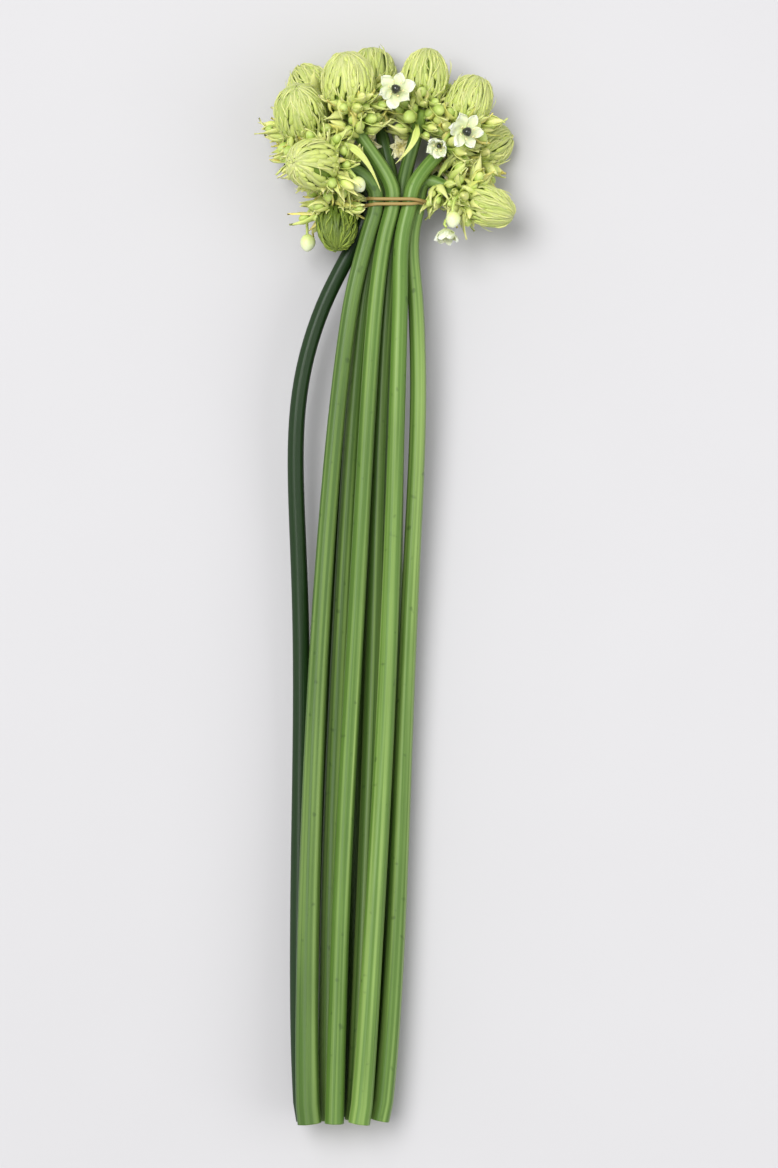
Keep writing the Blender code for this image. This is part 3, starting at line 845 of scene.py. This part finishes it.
def make_stem(head, settings, material):
    """A stem with low ribs along it and a cut end."""
    stem = STEMS[head.stem]
    line = smoothed(stem_line(head, LOWER_STEPS, UPPER_STEPS, SLIM_NECK_RADIUS), 4)
    (foot, foot_radius), (second, _) = line[:2]
    line.insert(1, (foot.lerp(second, 0.05), foot_radius))
    points, radii = zip(*line)
    shape = new_shape()
    # The stem's shade becomes its tone: painted shade that darkens its skin and takes away its light bands.
    add_tube(shape, points, radii, settings.sides, stem.shade, settings.ribs, settings.rib_share)
    layers = shape.verts.layers
    cut, place = layers.float.new("cut"), layers.float_vector.new("round")
    shape.normal_update()
    ends = [face for face in shape.faces if (face.calc_center_median() - foot).length < foot_radius / 5]
    for inset, depth, flesh in CUT_RINGS:
        bmesh.ops.inset_region(shape, faces=ends, thickness=inset, depth=depth)
        for vert in ends[0].verts:
            vert[cut] = flesh
    alongs, last = layers.float["along"], len(points) - 1
    for vert in shape.verts:
        offset = vert.co - points[min(last, round(vert[alongs] * last))]
        angle = math.atan2(offset.z, offset.x)
        vert[place] = (math.cos(angle) + stem.wobble, vert.co.y * 12, math.sin(angle) + stem.wobble)
    name = f"stem_{head.stem + 1:02d}"
    finish_piece(f"{name}_skin", shape, [material], name)


# Flower heads


def head_spine(head, start, turn, reach, lift, sway, wander):
    """A spine over a head's surface. lift gives how far over the head's body it runs at each share."""
    axes = head_axes(head)
    turned = axes.to_3x3()

    def spine(along):
        place = start + reach * along
        radius, height = surface(head, place)
        (further, higher), (near, lower) = surface(head, place + 0.01), surface(head, place - 0.01)
        angle = turn + sway * along + wander * math.sin(6 * along + 5 * turn)
        slope = Vector((further - near, higher - lower)).normalized()
        up = outward(angle) * slope.y - UP * slope.x
        point = outward(angle) * radius + UP * height + up * lift(along)
        return axes @ point, turned @ outward(angle + math.pi / 2), turned @ up

    return spine


def add_heart(shape, head):
    """The closed core that shows between a head's bracts."""
    axes = head_axes(head)
    turned = axes.to_3x3()

    def middle(along):
        height = min(surface(head, along)[1], body_length(head) - HEART_BELOW_TIP)
        return axes @ (UP * height), turned.col[0], turned.col[1]

    def radius(along):
        return max(0.0, surface(head, along)[0] * 0.94 - HEART_UNDER)

    add_drop(shape, middle, radius, radius, 0.5, 20, 18, material=1)


def add_bract(shape, head, settings, draw, number, count, twist):
    """A bract over a head's body: a blunt foot, sides that draw in evenly, and a long thin tail."""
    up = number / (count - 1)
    start = -0.01 + 0.95 * up**0.88
    full = blend(settings.base_width, settings.top_width, up**0.6) * head.radius / USUAL_HEAD_RADIUS
    full *= head.coarse * draw.uniform(0.88, 1.15)
    reach = settings.tail_length * draw.uniform(0.85, 1.2) / (body_length(head) * 1.3)
    reach = max(0.06, min(reach, 1.0 - start - draw.uniform(0.0, 0.07)))
    flare = blend(BRACT_FLARE, -BRACT_SUNK, clamp(up * 1.5)) * draw.uniform(0.5, 1.3) * head.coarse
    curl = draw.uniform(*BRACT_CURL) if draw.random() < 0.5 - 3.0 * up else 0.0
    over = BRACT_OVER * (draw.random() - up / 2)
    foot = 0.10

    def lift(along):
        return blend(flare, over, ease(along / 0.4)) + curl * ease((along - 0.55) / 0.45)

    def width(along):
        if along < foot:
            return full * math.sqrt(max(0.0, 1 - (1 - along / foot) ** 2))
        gone = (along - foot) / (1 - foot)
        leaf = (full - settings.tail_width) * max(0.0, 1 - gone * 1.2) ** 1.2
        return (settings.tail_width + leaf) * min(1.0, (1 - gone) / 0.1)

    def thickness(along):
        return width(along) * blend(0.50, 0.42, ease(along / 0.5))

    turn = number * GOLDEN_ANGLE + draw.uniform(-0.12, 0.12)
    sway = (twist + draw.uniform(-0.22, 0.22)) * min(1, reach * 3)
    spine = head_spine(head, start, turn, reach, lift, sway, draw.uniform(0.01, 0.08))
    tone = min(1.0, max(head.tone, 0.7) + draw.uniform(-0.3, 0.2))
    add_drop(shape, spine, width, thickness, tone, 6, 9)


def add_loose_tail(shape, head, draw, twist):
    """A loose pale tail that wanders over a head's bracts and crosses others."""
    start = draw.uniform(0.08, 0.72)
    reach = min(draw.uniform(0.16, 0.32), 0.96 - start)
    over, half = draw.uniform(*TAIL_OVER), draw.uniform(*TAIL_HALF_WIDTH)

    def lift(along):
        return blend(-BRACT_SUNK, over, ease(along / 0.3)) - over * ease((along - 0.7) / 0.3)

    def width(along):
        return half * (1 - 0.8 * ease((along - 0.5) / 0.5))

    sway = twist + draw.uniform(-0.45, 0.45)
    turn = draw.uniform(0, math.tau)
    spine = head_spine(head, start, turn, reach, lift, sway, draw.uniform(0.03, 0.12))
    add_drop(shape, spine, width, width, draw.uniform(0.85, 1.0), 4, 10, from_along=0.55)


def make_raceme(index, settings, skins):
    """A head's body: a deep green heart under rows of long-tailed bracts that run to the tip."""
    head = HEADS[index]
    draw = random.Random(90 + index)
    shape = new_shape()
    add_heart(shape, head)
    count = round(settings.bracts / head.coarse**2)
    twist = draw.choice((-1, 1)) * draw.uniform(0.10, 0.32)
    for number in range(count):
        add_bract(shape, head, settings, draw, number, count, twist)
    for _ in range(round(settings.strands / head.coarse**3)):
        add_loose_tail(shape, head, draw, twist)
    name = f"head_{index + 1:02d}"
    finish_piece(f"{name}_bracts", shape, skins, name)


# Buds and loose bracts


def stalk_root(head, towards):
    """Where a long stalk starts, inside a head's base and on the side that it leaves from."""
    aside = Vector(towards) - neck_of(head)
    aside -= axis_of(head) * aside.dot(axis_of(head))
    return neck_of(head) + axis_of(head) * STALK_ROOT_UP + aside.normalized() * STALK_ROOT_ASIDE


def solid_florets(head, draw):
    """Where the solid head's stalked buds may stand, by the same rule and the same draws."""
    axes = head_axes(head)
    turn = draw.uniform(0, math.tau)
    for _ in range(90):
        turn += GOLDEN_ANGLE
        tilt = math.radians(draw.uniform(60, 105))
        radius, reach = draw.uniform(*SOLID_BUD), draw.uniform(*SOLID_STALK)
        root = on_body(head, turn, draw.uniform(0.10, 0.20), head.radius - BRACT_PROUD, SOLID_ROOT_SUNK)
        centre = root + leaning(turn, tilt) * (reach + radius)
        yield Floret(axes @ root, axes @ centre, radius, axis_of(head))


def collar_florets(head, draw):
    """Where more stalked buds may stand, from the head's base down over the top of its stem."""
    turn = draw.uniform(0, math.tau)
    for _ in range(420):
        turn += GOLDEN_ANGLE
        point, run = stem_near(head, blend(*COLLAR_BACK, draw.random() ** 1.2))
        side = run.orthogonal().normalized()
        radial = side * math.cos(turn) + run.cross(side) * math.sin(turn)
        tilt = math.radians(draw.uniform(42, 95))
        radius, reach = draw.uniform(*COLLAR_BUD), draw.uniform(*COLLAR_STALK)
        root = point + radial * (NECK_RADIUS * 0.9)
        centre = root + (run * math.cos(tilt) + radial * math.sin(tilt)) * (reach + radius)
        yield Floret(root, centre, radius, run)


def shoulder_florets(head, draw, tries):
    """Where buds may sit on the lower part of a head's body, among its bracts."""
    axes = head_axes(head)
    turn = draw.uniform(0, math.tau)
    for _ in range(tries):
        turn += GOLDEN_ANGLE
        share = blend(0.02, 0.30, draw.random())
        tilt = math.radians(draw.uniform(40, 75))
        radius = draw.uniform(*SHOULDER_BUD)
        root = on_body(head, turn, share, head.radius, ROOT_SUNK)
        centre = root + leaning(turn, tilt) * draw.uniform(*SHOULDER_STALK)
        yield Floret(axes @ root, axes @ centre, radius, axis_of(head))


def settle(florets, wanted, outside, margin, kept, head, lines, taken):
    """The first of these buds that find room.

    outside is how many of its radii a bud's middle lies outside its own head, margin what it keeps
    clear of all else, and kept the share of its radius that later buds keep clear of.
    """
    found = []
    while len(found) < wanted and (floret := next(florets, None)):
        own = outside_head(head, floret.centre) > floret.radius * outside
        if own and is_clear(floret.centre, floret.radius + margin, head, lines, taken):
            found.append(floret)
            taken.append((floret.centre, floret.radius * kept))
    return found


def solid_loose_bracts(head, draw, lines, taken):
    """The loose bracts that the solid head has too, found by the same rule and the same draws."""
    axes = head_axes(head)
    found = []
    for _ in range(60):
        turn = draw.uniform(0, math.tau)
        tilt = math.radians(draw.uniform(50, 80))
        reach = draw.uniform(*SOLID_LEAF_REACH)
        root = on_body(head, turn, 0.20, head.radius - BRACT_PROUD, ROOT_SUNK)
        middle = root + leaning(turn, tilt) * reach * 0.55
        tip = middle + (outward(turn) * 0.6 + UP * 0.8) * reach * 0.45
        points = [axes @ point for point in (root, middle, tip)]
        room = all(is_clear(point, SOLID_LEAF_ROOM, head, lines, taken) for point in points[1:])
        if room and len(found) < SOLID_LOOSE_BRACTS:
            found.append(points)
            taken.append((points[1], SOLID_LEAF_KEPT))
    return found


def leaf_width(full):
    """Half the width of a loose bract: a narrow foot, full at a third, and a long point."""

    def width(along):
        gone = max(0.0, (along - 0.25) / 0.75)
        return full * (0.35 + 0.65 * ease(along / 0.3)) * max(0.02, (1 - gone) ** 1.3 * (1 + 0.6 * gone))

    return width


def add_bud(shape, centre, direction, radius, tone, stretch, material=0, beak=0.0, around=10, rings=7):
    """A closed bud: an egg with low lobes that closes on a point, or on a long beak."""
    axes = axes_along(direction.normalized(), centre)

    def place(spot):
        x, y, z = spot
        tip = max(0.0, z)
        girth = math.sqrt(max(0.0, 1 - z * z))
        wave = math.cos(3 * math.atan2(y, x))
        lobe = radius * (1 + 0.05 * wave * girth) * (1 - 0.35 * min(1.0, beak) * tip)
        height = radius * (z * stretch + 0.15 * tip**6 + beak * tip**5)
        keel = 0.45 * abs(wave) ** 8 * girth
        return axes @ Vector((x * lobe, y * lobe, height)), max(0.0, (z + 1) / 2 - keel)

    add_ball(shape, place, tone, around, rings, material)


def add_stalk(shape, points, radius, tone=0.8):
    """A thin smooth stalk through two or three points."""
    if len(points) == 2:
        sag = (points[1] - points[0]).length * 0.08
        points = [points[0], (points[0] + points[1]) / 2 - UP * sag, points[1]]
    start, middle, end = points
    control = 2 * middle - (start + end) / 2
    steps = [index / 5 for index in range(6)]
    route = [start * (1 - t) ** 2 + control * 2 * t * (1 - t) + end * t * t for t in steps]
    add_tube(shape, route, [radius * blend(1.25, 0.9, t) for t in steps], 6, tone)


def add_floret(buds, leaves, draw, floret):
    """A bud on its stalk, and the pale bracts that hold it from below."""
    root, centre, radius, run = floret
    out = (centre - root).normalized()
    pick, tone = draw.random(), draw.uniform(0.55, 1.0)
    kind = next(kind for kind in BUD_KINDS if pick < kind.up_to)
    add_stalk(buds, [root, centre - out * radius * 0.6], BUD_STALK_RADIUS)
    add_bud(buds, centre, out, radius * kind.size, tone, kind.stretch, kind.material, kind.beak)
    below = -run - out * out.dot(-run)
    if below.length < 0.05:
        below = out.orthogonal()
    below = Matrix.Rotation(draw.uniform(-1.1, 1.1), 3, out) @ below.normalized()
    for leaf in range(1 + (draw.random() < 0.6)):
        if leaf:
            below = Matrix.Rotation(draw.choice((-1, 1)) * draw.uniform(1.3, 2.4), 3, out) @ below
        start = root.lerp(centre, draw.uniform(0.0, 0.35)) + below * LEAF_ROOT_OUT
        middle = centre + below * radius * draw.uniform(1.0, 1.25)
        end = centre + out * (radius + draw.uniform(*LEAF_REACH)) + below * draw.uniform(*LEAF_ASIDE)
        if end.z > TABLE + LEAF_GAP and all(outside_head(other, end) > 0 for other in HEADS):
            width = leaf_width(draw.uniform(*LEAF_HALF_WIDTH))
            dry = draw.random() < 0.22
            spine = bent_spine(start, middle, end, below)
            add_blade(leaves, spine, width, -0.5, draw.uniform(0.4, 1.0), LEAF_RIPPLE, int(dry))


def add_hanging_bracts(leaves, head, draw, count, lines):
    """Pointed bracts that bend back from a head's lower part and hang past its base."""
    axes = head_axes(head)
    others = [other for other in HEADS if other is not head]
    for number in range(count):
        turn = math.tau * number / count + draw.uniform(-0.3, 0.3)
        share, reach = draw.uniform(0.14, 0.38), draw.uniform(*HANGING_REACH)
        root = on_body(head, turn, share, head.radius, HANGING_ROOT_SUNK)
        middle = root + outward(turn) * draw.uniform(*HANGING_OUT) - UP * reach * 0.5
        tip = root + outward(turn) * draw.uniform(-0.003, 0.001) - UP * reach
        start, bend, end = (axes @ point for point in (root, middle, tip))
        near = [outside_head(other, point) for other in others for point in (bend, end)]
        near += [outside_stem(line, end) for line in lines]
        if min(*near, end.z - TABLE) > LEAF_GAP:
            spine = bent_spine(start, bend, end, axes.to_3x3() @ outward(turn))
            width, tone = leaf_width(draw.uniform(*HANGING_HALF_WIDTH)), draw.uniform(0.6, 1.0)
            add_blade(leaves, spine, width, -0.6, tone, SMALL_RIPPLE, int(draw.random() < 0.3))


def add_withered_flower(buds, leaves, draw, flower):
    """Limp crumpled petals on a stalk."""
    head, centre = HEADS[flower.head], Vector(flower.centre)
    axes = axes_along(Vector(flower.faces).normalized(), centre)
    route = [stalk_root(head, centre), centre.lerp(neck_of(head), 0.4), centre]
    add_stalk(buds, route, LIMP_STALK_RADIUS, 0.7)
    for petal in range(LIMP_PETALS):
        turn = math.tau * petal / LIMP_PETALS + draw.uniform(-0.3, 0.3)
        out = leaning(turn, math.radians(draw.uniform(45, 95)))
        reach = draw.uniform(*LIMP_REACH)
        bend = out * reach * 0.55 + UP * draw.uniform(0.000, 0.003)
        tip = out * reach + Vector((draw.uniform(-0.002, 0.002), draw.uniform(-0.002, 0.002), -0.002))
        spine = bent_spine(centre, axes @ bend, axes @ tip, axes.to_3x3() @ UP)
        width, tone = leaf_width(draw.uniform(*LIMP_HALF_WIDTH)), draw.uniform(0.4, 1.0)
        add_blade(leaves, spine, width, 0.7, tone, LIMP_RIPPLE, 2, (5, 12))


def make_florets(index, settings, lines, taken, materials):
    """The stalked buds and loose bracts round a head's base."""
    head = HEADS[index]
    draw = random.Random(7 + index)
    # The solid head first draws once for each of its bracts.
    for _ in range(SOLID_BRACTS):
        draw.random()
    around = (head, lines, taken)
    solid = settle(iter(list(solid_florets(head, draw))), SOLID_FLORETS, 0.9, BUD_MARGIN, 1.0, *around)
    loose = solid_loose_bracts(head, draw, lines, taken)
    florets = [floret._replace(radius=floret.radius * SOLID_BUD_SHRUNK) for floret in solid]
    wanted = settings.florets - len(solid)
    florets += settle(collar_florets(head, draw), wanted, 0.3, BUD_GAP, 0.92, *around)
    shoulder = shoulder_florets(head, draw, 5 * settings.shoulder)
    florets += settle(shoulder, settings.shoulder, -math.inf, BUD_GAP, 0.8, *around)
    buds, leaves = new_shape(), new_shape()
    for floret in florets:
        add_floret(buds, leaves, draw, floret)
    for points in loose:
        spine = bent_spine(*points, points[1] - Vector(head.centre))
        width, tone = leaf_width(draw.uniform(*SOLID_LEAF_HALF_WIDTH)), draw.uniform(0.5, 1.0)
        add_blade(leaves, spine, width, -0.5, tone, SMALL_RIPPLE)
    for bract in of_head(LONG_BRACTS, index):
        spine = bent_spine(*(Vector(point) for point in bract.points), UP)
        add_blade(leaves, spine, leaf_width(bract.half_width), 0.6, 0.7, LEAF_RIPPLE, steps=(4, 12))
    add_hanging_bracts(leaves, head, draw, settings.hanging, lines)
    for flower in of_head(WITHERED, index):
        add_withered_flower(buds, leaves, draw, flower)
    for bud in of_head(LARGE_BUDS, index):
        centre, bend = Vector(bud.centre), Vector(bud.bend)
        add_stalk(buds, [stalk_root(head, bend), bend, centre], FLOWER_STALK_RADIUS)
        tone, material = blend(0.6, 1.0, bud.white), int(bud.white > 0)
        add_bud(buds, centre, centre - bend, bud.radius, tone, 1.10, material, around=18, rings=12)
    for flower in of_head(FLOWERS, index):
        faces = Vector(flower.faces).normalized()
        seat = Vector(flower.centre) - faces * (HUB_DEPTH + CLEARANCE)
        bend = seat - faces * FLOWER_NECK
        add_stalk(buds, [stalk_root(head, bend), bend, seat], FLOWER_STALK_RADIUS)
    name = f"head_{index + 1:02d}"
    finish_piece(f"{name}_buds", buds, materials[:3])
    thicken(finish_piece(f"{name}_loose_bracts", leaves, materials[2:]), LEAF_THICKNESS)


# Open flowers


def petal_width(full):
    """Half the width of a petal: a narrow foot, and full past its middle."""

    def width(along):
        rounded = math.sqrt(max(0.01, 1 - ease((along - 0.55) / 0.47) ** 2))
        return full * (0.22 + 0.78 * ease(along / 0.5)) * rounded

    return width


def make_petals(number, flower, axes, settings, material):
    """Broad petals in two whorls."""
    draw = random.Random(300 + number)
    petals = new_shape()
    length, full = settings.petal_length * flower.share, settings.petal_width * flower.share
    for petal in range(PETALS):
        turn = math.tau * petal / PETALS + draw.uniform(-0.08, 0.08)
        run = leaning(turn, math.radians(flower.opening - 8 * (petal % 2) + draw.uniform(-4, 4)))
        lift = run.cross(outward(turn + math.pi / 2))
        start = outward(turn) * HUB_RADIUS * 0.4 - UP * HUB_DEPTH / 2
        bow = draw.uniform(*PETAL_BOW)
        tip = start + run * length * draw.uniform(0.90, 1.05) + lift * draw.uniform(*PETAL_LIFT)
        middle = (start + tip) / 2 - lift * bow
        spine = bent_spine(axes @ start, axes @ middle, axes @ tip, axes.to_3x3() @ lift)
        width, tone = petal_width(full * draw.uniform(0.88, 1.08)), draw.uniform(0.85, 1.0)
        add_blade(petals, spine, width, 0.25, tone, PETAL_RIPPLE, steps=(8, 12))
    piece = finish_piece(f"flower_{number}_petals", petals, [material], f"petals_{number}")
    thicken(piece, PETAL_THICKNESS, 1)


def make_ovary(number, axes, radius, material):
    """The glossy egg in the middle of a flower, with three low lobes."""

    def place(spot):
        angle = math.atan2(spot.y, spot.x)
        lobe = 1 + 0.07 * math.cos(3 * angle) + 0.03 * math.cos(6 * angle)
        height = radius * 1.2 * (spot.z + 1) + 2 * CLEARANCE
        return axes @ Vector((spot.x * lobe * radius, spot.y * lobe * radius, height)), 0.5

    ovary = new_shape()
    add_ball(ovary, place, 0.5, 30, 18)
    finish_piece(f"flower_{number}_ovary", ovary, [material], f"ovary_{number}")


def make_stamens(number, flower, axes, radius, count, material):
    """Fine filaments round the ovary, each with a pollen sac."""
    stamens = new_shape()
    for stamen in range(count):
        out = outward(math.tau * (stamen + 0.5) / count)
        foot = out * HUB_RADIUS * 0.8
        tip = out * (radius + STAMEN_OUT * flower.share) + UP * (radius * 1.7 + STAMEN_UP)
        bend = (foot + tip) / 2 + out * FILAMENT_BOW
        add_tube(stamens, [axes @ foot, axes @ bend, axes @ tip], FILAMENT_RADII, 6, 1.0)
        sac = axes_along((axes.to_3x3() @ Vector((-out.y, out.x, 0.4))).normalized(), axes @ tip)
        add_ball(stamens, lambda spot: (sac @ (spot * ANTHER_SIZE), 1.0), 1.0, 8, 6)
    finish_piece(f"flower_{number}_stamens", stamens, [material])


# Rubber band


def band_route(settings):
    """The middle of the rubber band: two turns round the stems that cross on the right."""
    middles = [Vector((stem.column * TIE_PITCH, 0.0, stem.row * ROW_NESTING * TIE_PITCH)) for stem in STEMS]
    over = 2 * settings.radius + CLEARANCE
    points = []
    for step in range(2 * BAND_STEPS):
        angle = math.tau * (step + 0.5) / BAND_STEPS
        normal = Vector((math.cos(angle), 0.0, math.sin(angle)))
        outermost = max(middles, key=lambda middle: middle.dot(normal))
        lift = TIE_RADIUS + settings.radius + CLEARANCE + over * ((1 + math.cos(angle / 2)) / 2) ** 8
        along = Vector((0.0, settings.spread * math.sin(angle / 2), 0.0))
        points.append(outermost + normal * lift + along)
    return points


def make_band(settings, material):
    """The rubber band: a flat-sided loop, swept round its route and closed on itself."""
    route = band_route(settings)
    turns = len(route)

    def place(spot):
        ring = round((spot.y + 1) / 2 * turns) % turns
        angle = math.pi * (spot.x + 1)
        point = route[ring]
        run = (route[(ring + 1) % turns] - route[ring - 1]).normalized()
        across = run.cross(Vector((point.x, 0.0, point.z))).normalized()
        section = Vector((math.cos(angle), math.sin(angle)))
        section *= settings.radius * (abs(section.x) ** 6 + abs(section.y) ** 6) ** (-1 / 6) * 0.92
        return point + across * section.x + across.cross(run) * section.y, 0.0

    shape, part = new_shape(), new_shape()
    bmesh.ops.create_grid(part, x_segments=BAND_SIDES, y_segments=turns, size=1.0)
    add_part(shape, part, place, 0.0, closed=False)
    bmesh.ops.remove_doubles(shape, verts=shape.verts, dist=0.000001)
    bmesh.ops.recalc_face_normals(shape, faces=shape.faces)
    finish_piece("tie_band", shape, [material], "rubber_band")


# Stage


def make_floor(settings):
    """A pale table top that runs out of sight."""
    shape = bmesh.new()
    bmesh.ops.create_grid(shape, x_segments=1, y_segments=1, size=20.0)
    mesh = bpy.data.meshes.new("floor")
    shape.to_mesh(mesh)
    shape.free()
    material, tree, shader = new_material("table_top", 0.75)
    grain = maths(tree, "MULTIPLY", noise(tree, 9.0, 2.0), 0.06)
    feed(shader, {"Base Color": mix_colour(tree, grain, settings.floor, (0.70, 0.71, 0.72))})
    mesh.materials.append(material)
    add_object("floor", mesh)


def make_camera(settings):
    """The camera straight above the bunch, with the picture's top towards the flower heads."""
    camera = add_object("camera", bpy.data.cameras.new("camera"))
    camera.location = (0.0, 0.0, settings.distance)
    camera.data.sensor_fit = "VERTICAL"
    camera.data.angle = 2 * math.atan(settings.view_height / 2 / (settings.distance - TIE_CENTRE.z))
    camera.data.clip_start = 0.01
    camera.data.clip_end = 20.0
    bpy.context.scene.camera = camera


def make_light(name, kind, place, energy):
    """A light that shines from a place to the middle of the table."""
    light = bpy.data.lights.new(name, kind)
    light.energy = energy
    lamp = add_object(name, light)
    lamp.location = place
    lamp.rotation_euler = (-Vector(place)).to_track_quat("-Z", "Y").to_euler()
    return light


def make_studio(scene):
    """Even daylight over the whole table, two soft lamps and a white room."""
    make_light("daylight", "SUN", (-0.35, 0.25, 1.0), 1.85).angle = math.radians(35.0)
    make_light("key", "AREA", (-0.7, 0.6, 2.1), 20.0).size = 1.1
    make_light("fill", "AREA", (1.5, -0.2, 1.5), 12.0).size = 1.6
    scene.world = bpy.data.worlds.new("studio")
    scene.world.use_nodes = True
    feed(scene.world.node_tree.nodes["Background"], {"Color": (1.0, 1.0, 1.0), "Strength": 0.62})
    scene.view_settings.view_transform = "Standard"


# Operators


class BUNCH_OT_stems(bpy.types.Operator):
    """Build the ten ribbed stems"""

    bl_idname = "bunch.stems"
    bl_label = "Stems"

    def execute(self, context):
        settings = context.scene.bunch.stems
        material = stem_material(settings)
        for head in HEADS:
            make_stem(head, settings, material)
        return {"FINISHED"}


class BUNCH_OT_heads(bpy.types.Operator):
    """Build the bodies of the ten flower heads"""

    bl_idname = "bunch.heads"
    bl_label = "Flower heads"

    def execute(self, context):
        colours = context.scene.bunch.heads
        deep, dark = colours.deep, colours.shaded_green
        pale_skins = [
            plant_material("bract", colours.green, colours.pale, deep, 0.5),
            plant_material("heart", deep, deep, deep * 0.5, 0.6, tone=0.6),
        ]
        # Darker copies for the head lying in shadow: partly its own deeper green, partly painted shade.
        shaded_skins = [
            plant_material("shaded_bract", dark, colours.shaded_pale, colours.shaded_deep, 0.5),
            plant_material("shaded_heart", dark, dark, colours.shaded_deep, 0.6, tone=0.35),
        ]
        for index, head in enumerate(HEADS):
            make_raceme(index, colours, shaded_skins if head.tone < 0.3 else pale_skins)
        return {"FINISHED"}


class BUNCH_OT_florets(bpy.types.Operator):
    """Build the stalked buds and loose bracts round each head's base"""

    bl_idname = "bunch.florets"
    bl_label = "Buds and loose bracts"

    def execute(self, context):
        colours = context.scene.bunch.heads
        lines = [stem_line(head, SOLID_LOWER_STEPS, SOLID_UPPER_STEPS) for head in HEADS]
        taken = [(Vector(bud.centre), bud.radius) for bud in LARGE_BUDS]
        taken += [(Vector(flower.centre), PETAL_LENGTH * flower.share) for flower in FLOWERS]
        bud, straw = colours.bud, colours.straw
        materials = [
            plant_material("bud", bud, colours.bud_tip, colours.deep, 0.42),
            plant_material("white_bud", colours.bud_tip, colours.white_bud, bud, 0.4, mottle=0.1),
            plant_material("loose_bract", colours.green, straw, bud, 0.55),
            plant_material("dry_bract", straw, colours.golden, bud, 0.6),
            plant_material("withered_petal", straw, colours.white_bud, colours.withered, 0.6),
        ]
        for index in range(len(HEADS)):
            make_florets(index, colours, lines, taken, materials)
        return {"FINISHED"}


class BUNCH_OT_flowers(bpy.types.Operator):
    """Build the open flowers, with their ovaries and stamens"""

    bl_idname = "bunch.flowers"
    bl_label = "Open flowers"

    def execute(self, context):
        settings = context.scene.bunch.flowers
        black, throat, anther = settings.ovary, settings.throat, settings.anther
        gloss = {"mottle": 0.02, "soft": 0.0, "lines": (300.0, 0.05), "tone": 1.0, "specular": 0.7}
        petal_skin = plant_material("petal", throat, settings.petal, throat, 0.5, 0.06, lines=(900.0, 0.3))
        ovary_skin = plant_material("ovary", black, black, throat, 0.14, **gloss)
        stamen_skin = plant_material("stamen", settings.petal, anther, anther, 0.6, 0.1)
        for number, flower in enumerate(FLOWERS, start=1):
            axes = axes_along(Vector(flower.faces).normalized(), Vector(flower.centre))
            opened = math.sin(math.radians(flower.opening))
            radius = OVARY_RADIUS * settings.ovary_share * flower.share * opened
            make_petals(number, flower, axes, settings, petal_skin)
            make_ovary(number, axes, radius, ovary_skin)
            make_stamens(number, flower, axes, radius, settings.stamens, stamen_skin)
        return {"FINISHED"}


class BUNCH_OT_band(bpy.types.Operator):
    """Build the rubber band at the tie"""

    bl_idname = "bunch.band"
    bl_label = "Rubber band"

    def execute(self, context):
        settings = context.scene.bunch.band
        rubber = settings.rubber
        make_band(settings, plant_material("rubber", rubber, rubber, rubber * 0.6, 0.55, soft=0.0, tone=1.0))
        return {"FINISHED"}


class BUNCH_OT_stage(bpy.types.Operator):
    """Set the table top, the lights and the camera"""

    bl_idname = "bunch.stage"
    bl_label = "Stage"

    def execute(self, context):
        settings = context.scene.bunch.stage
        make_floor(settings)
        make_camera(settings)
        make_studio(context.scene)
        return {"FINISHED"}


class BUNCH_PT_panel(bpy.types.Panel):
    """Lists the bunch's operators"""

    bl_idname = "BUNCH_PT_panel"
    bl_label = "Ornithogalum Bunch"
    bl_space_type = "VIEW_3D"
    bl_region_type = "UI"
    bl_category = "Bunch"

    def draw(self, context):
        column = self.layout.column(align=True)
        for operator in OPERATORS:
            column.operator(operator.bl_idname)


SETTINGS = (StemSettings, HeadSettings, FlowerSettings, BandSettings, StageSettings, BunchSettings)
OPERATORS = (
    BUNCH_OT_stems,
    BUNCH_OT_heads,
    BUNCH_OT_florets,
    BUNCH_OT_flowers,
    BUNCH_OT_band,
    BUNCH_OT_stage,
)
CLASSES = (*SETTINGS, *OPERATORS, BUNCH_PT_panel)


def register():
    for cls in CLASSES:
        bpy.utils.register_class(cls)
    bpy.types.Scene.bunch = PointerProperty(type=BunchSettings)


def unregister():
    del bpy.types.Scene.bunch
    for cls in reversed(CLASSES):
        bpy.utils.unregister_class(cls)


def main():
    register()
    bpy.ops.bunch.stems()
    bpy.ops.bunch.heads()
    bpy.ops.bunch.florets()
    bpy.ops.bunch.flowers()
    bpy.ops.bunch.band()
    bpy.ops.bunch.stage()


if __name__ == "__main__":
    main()
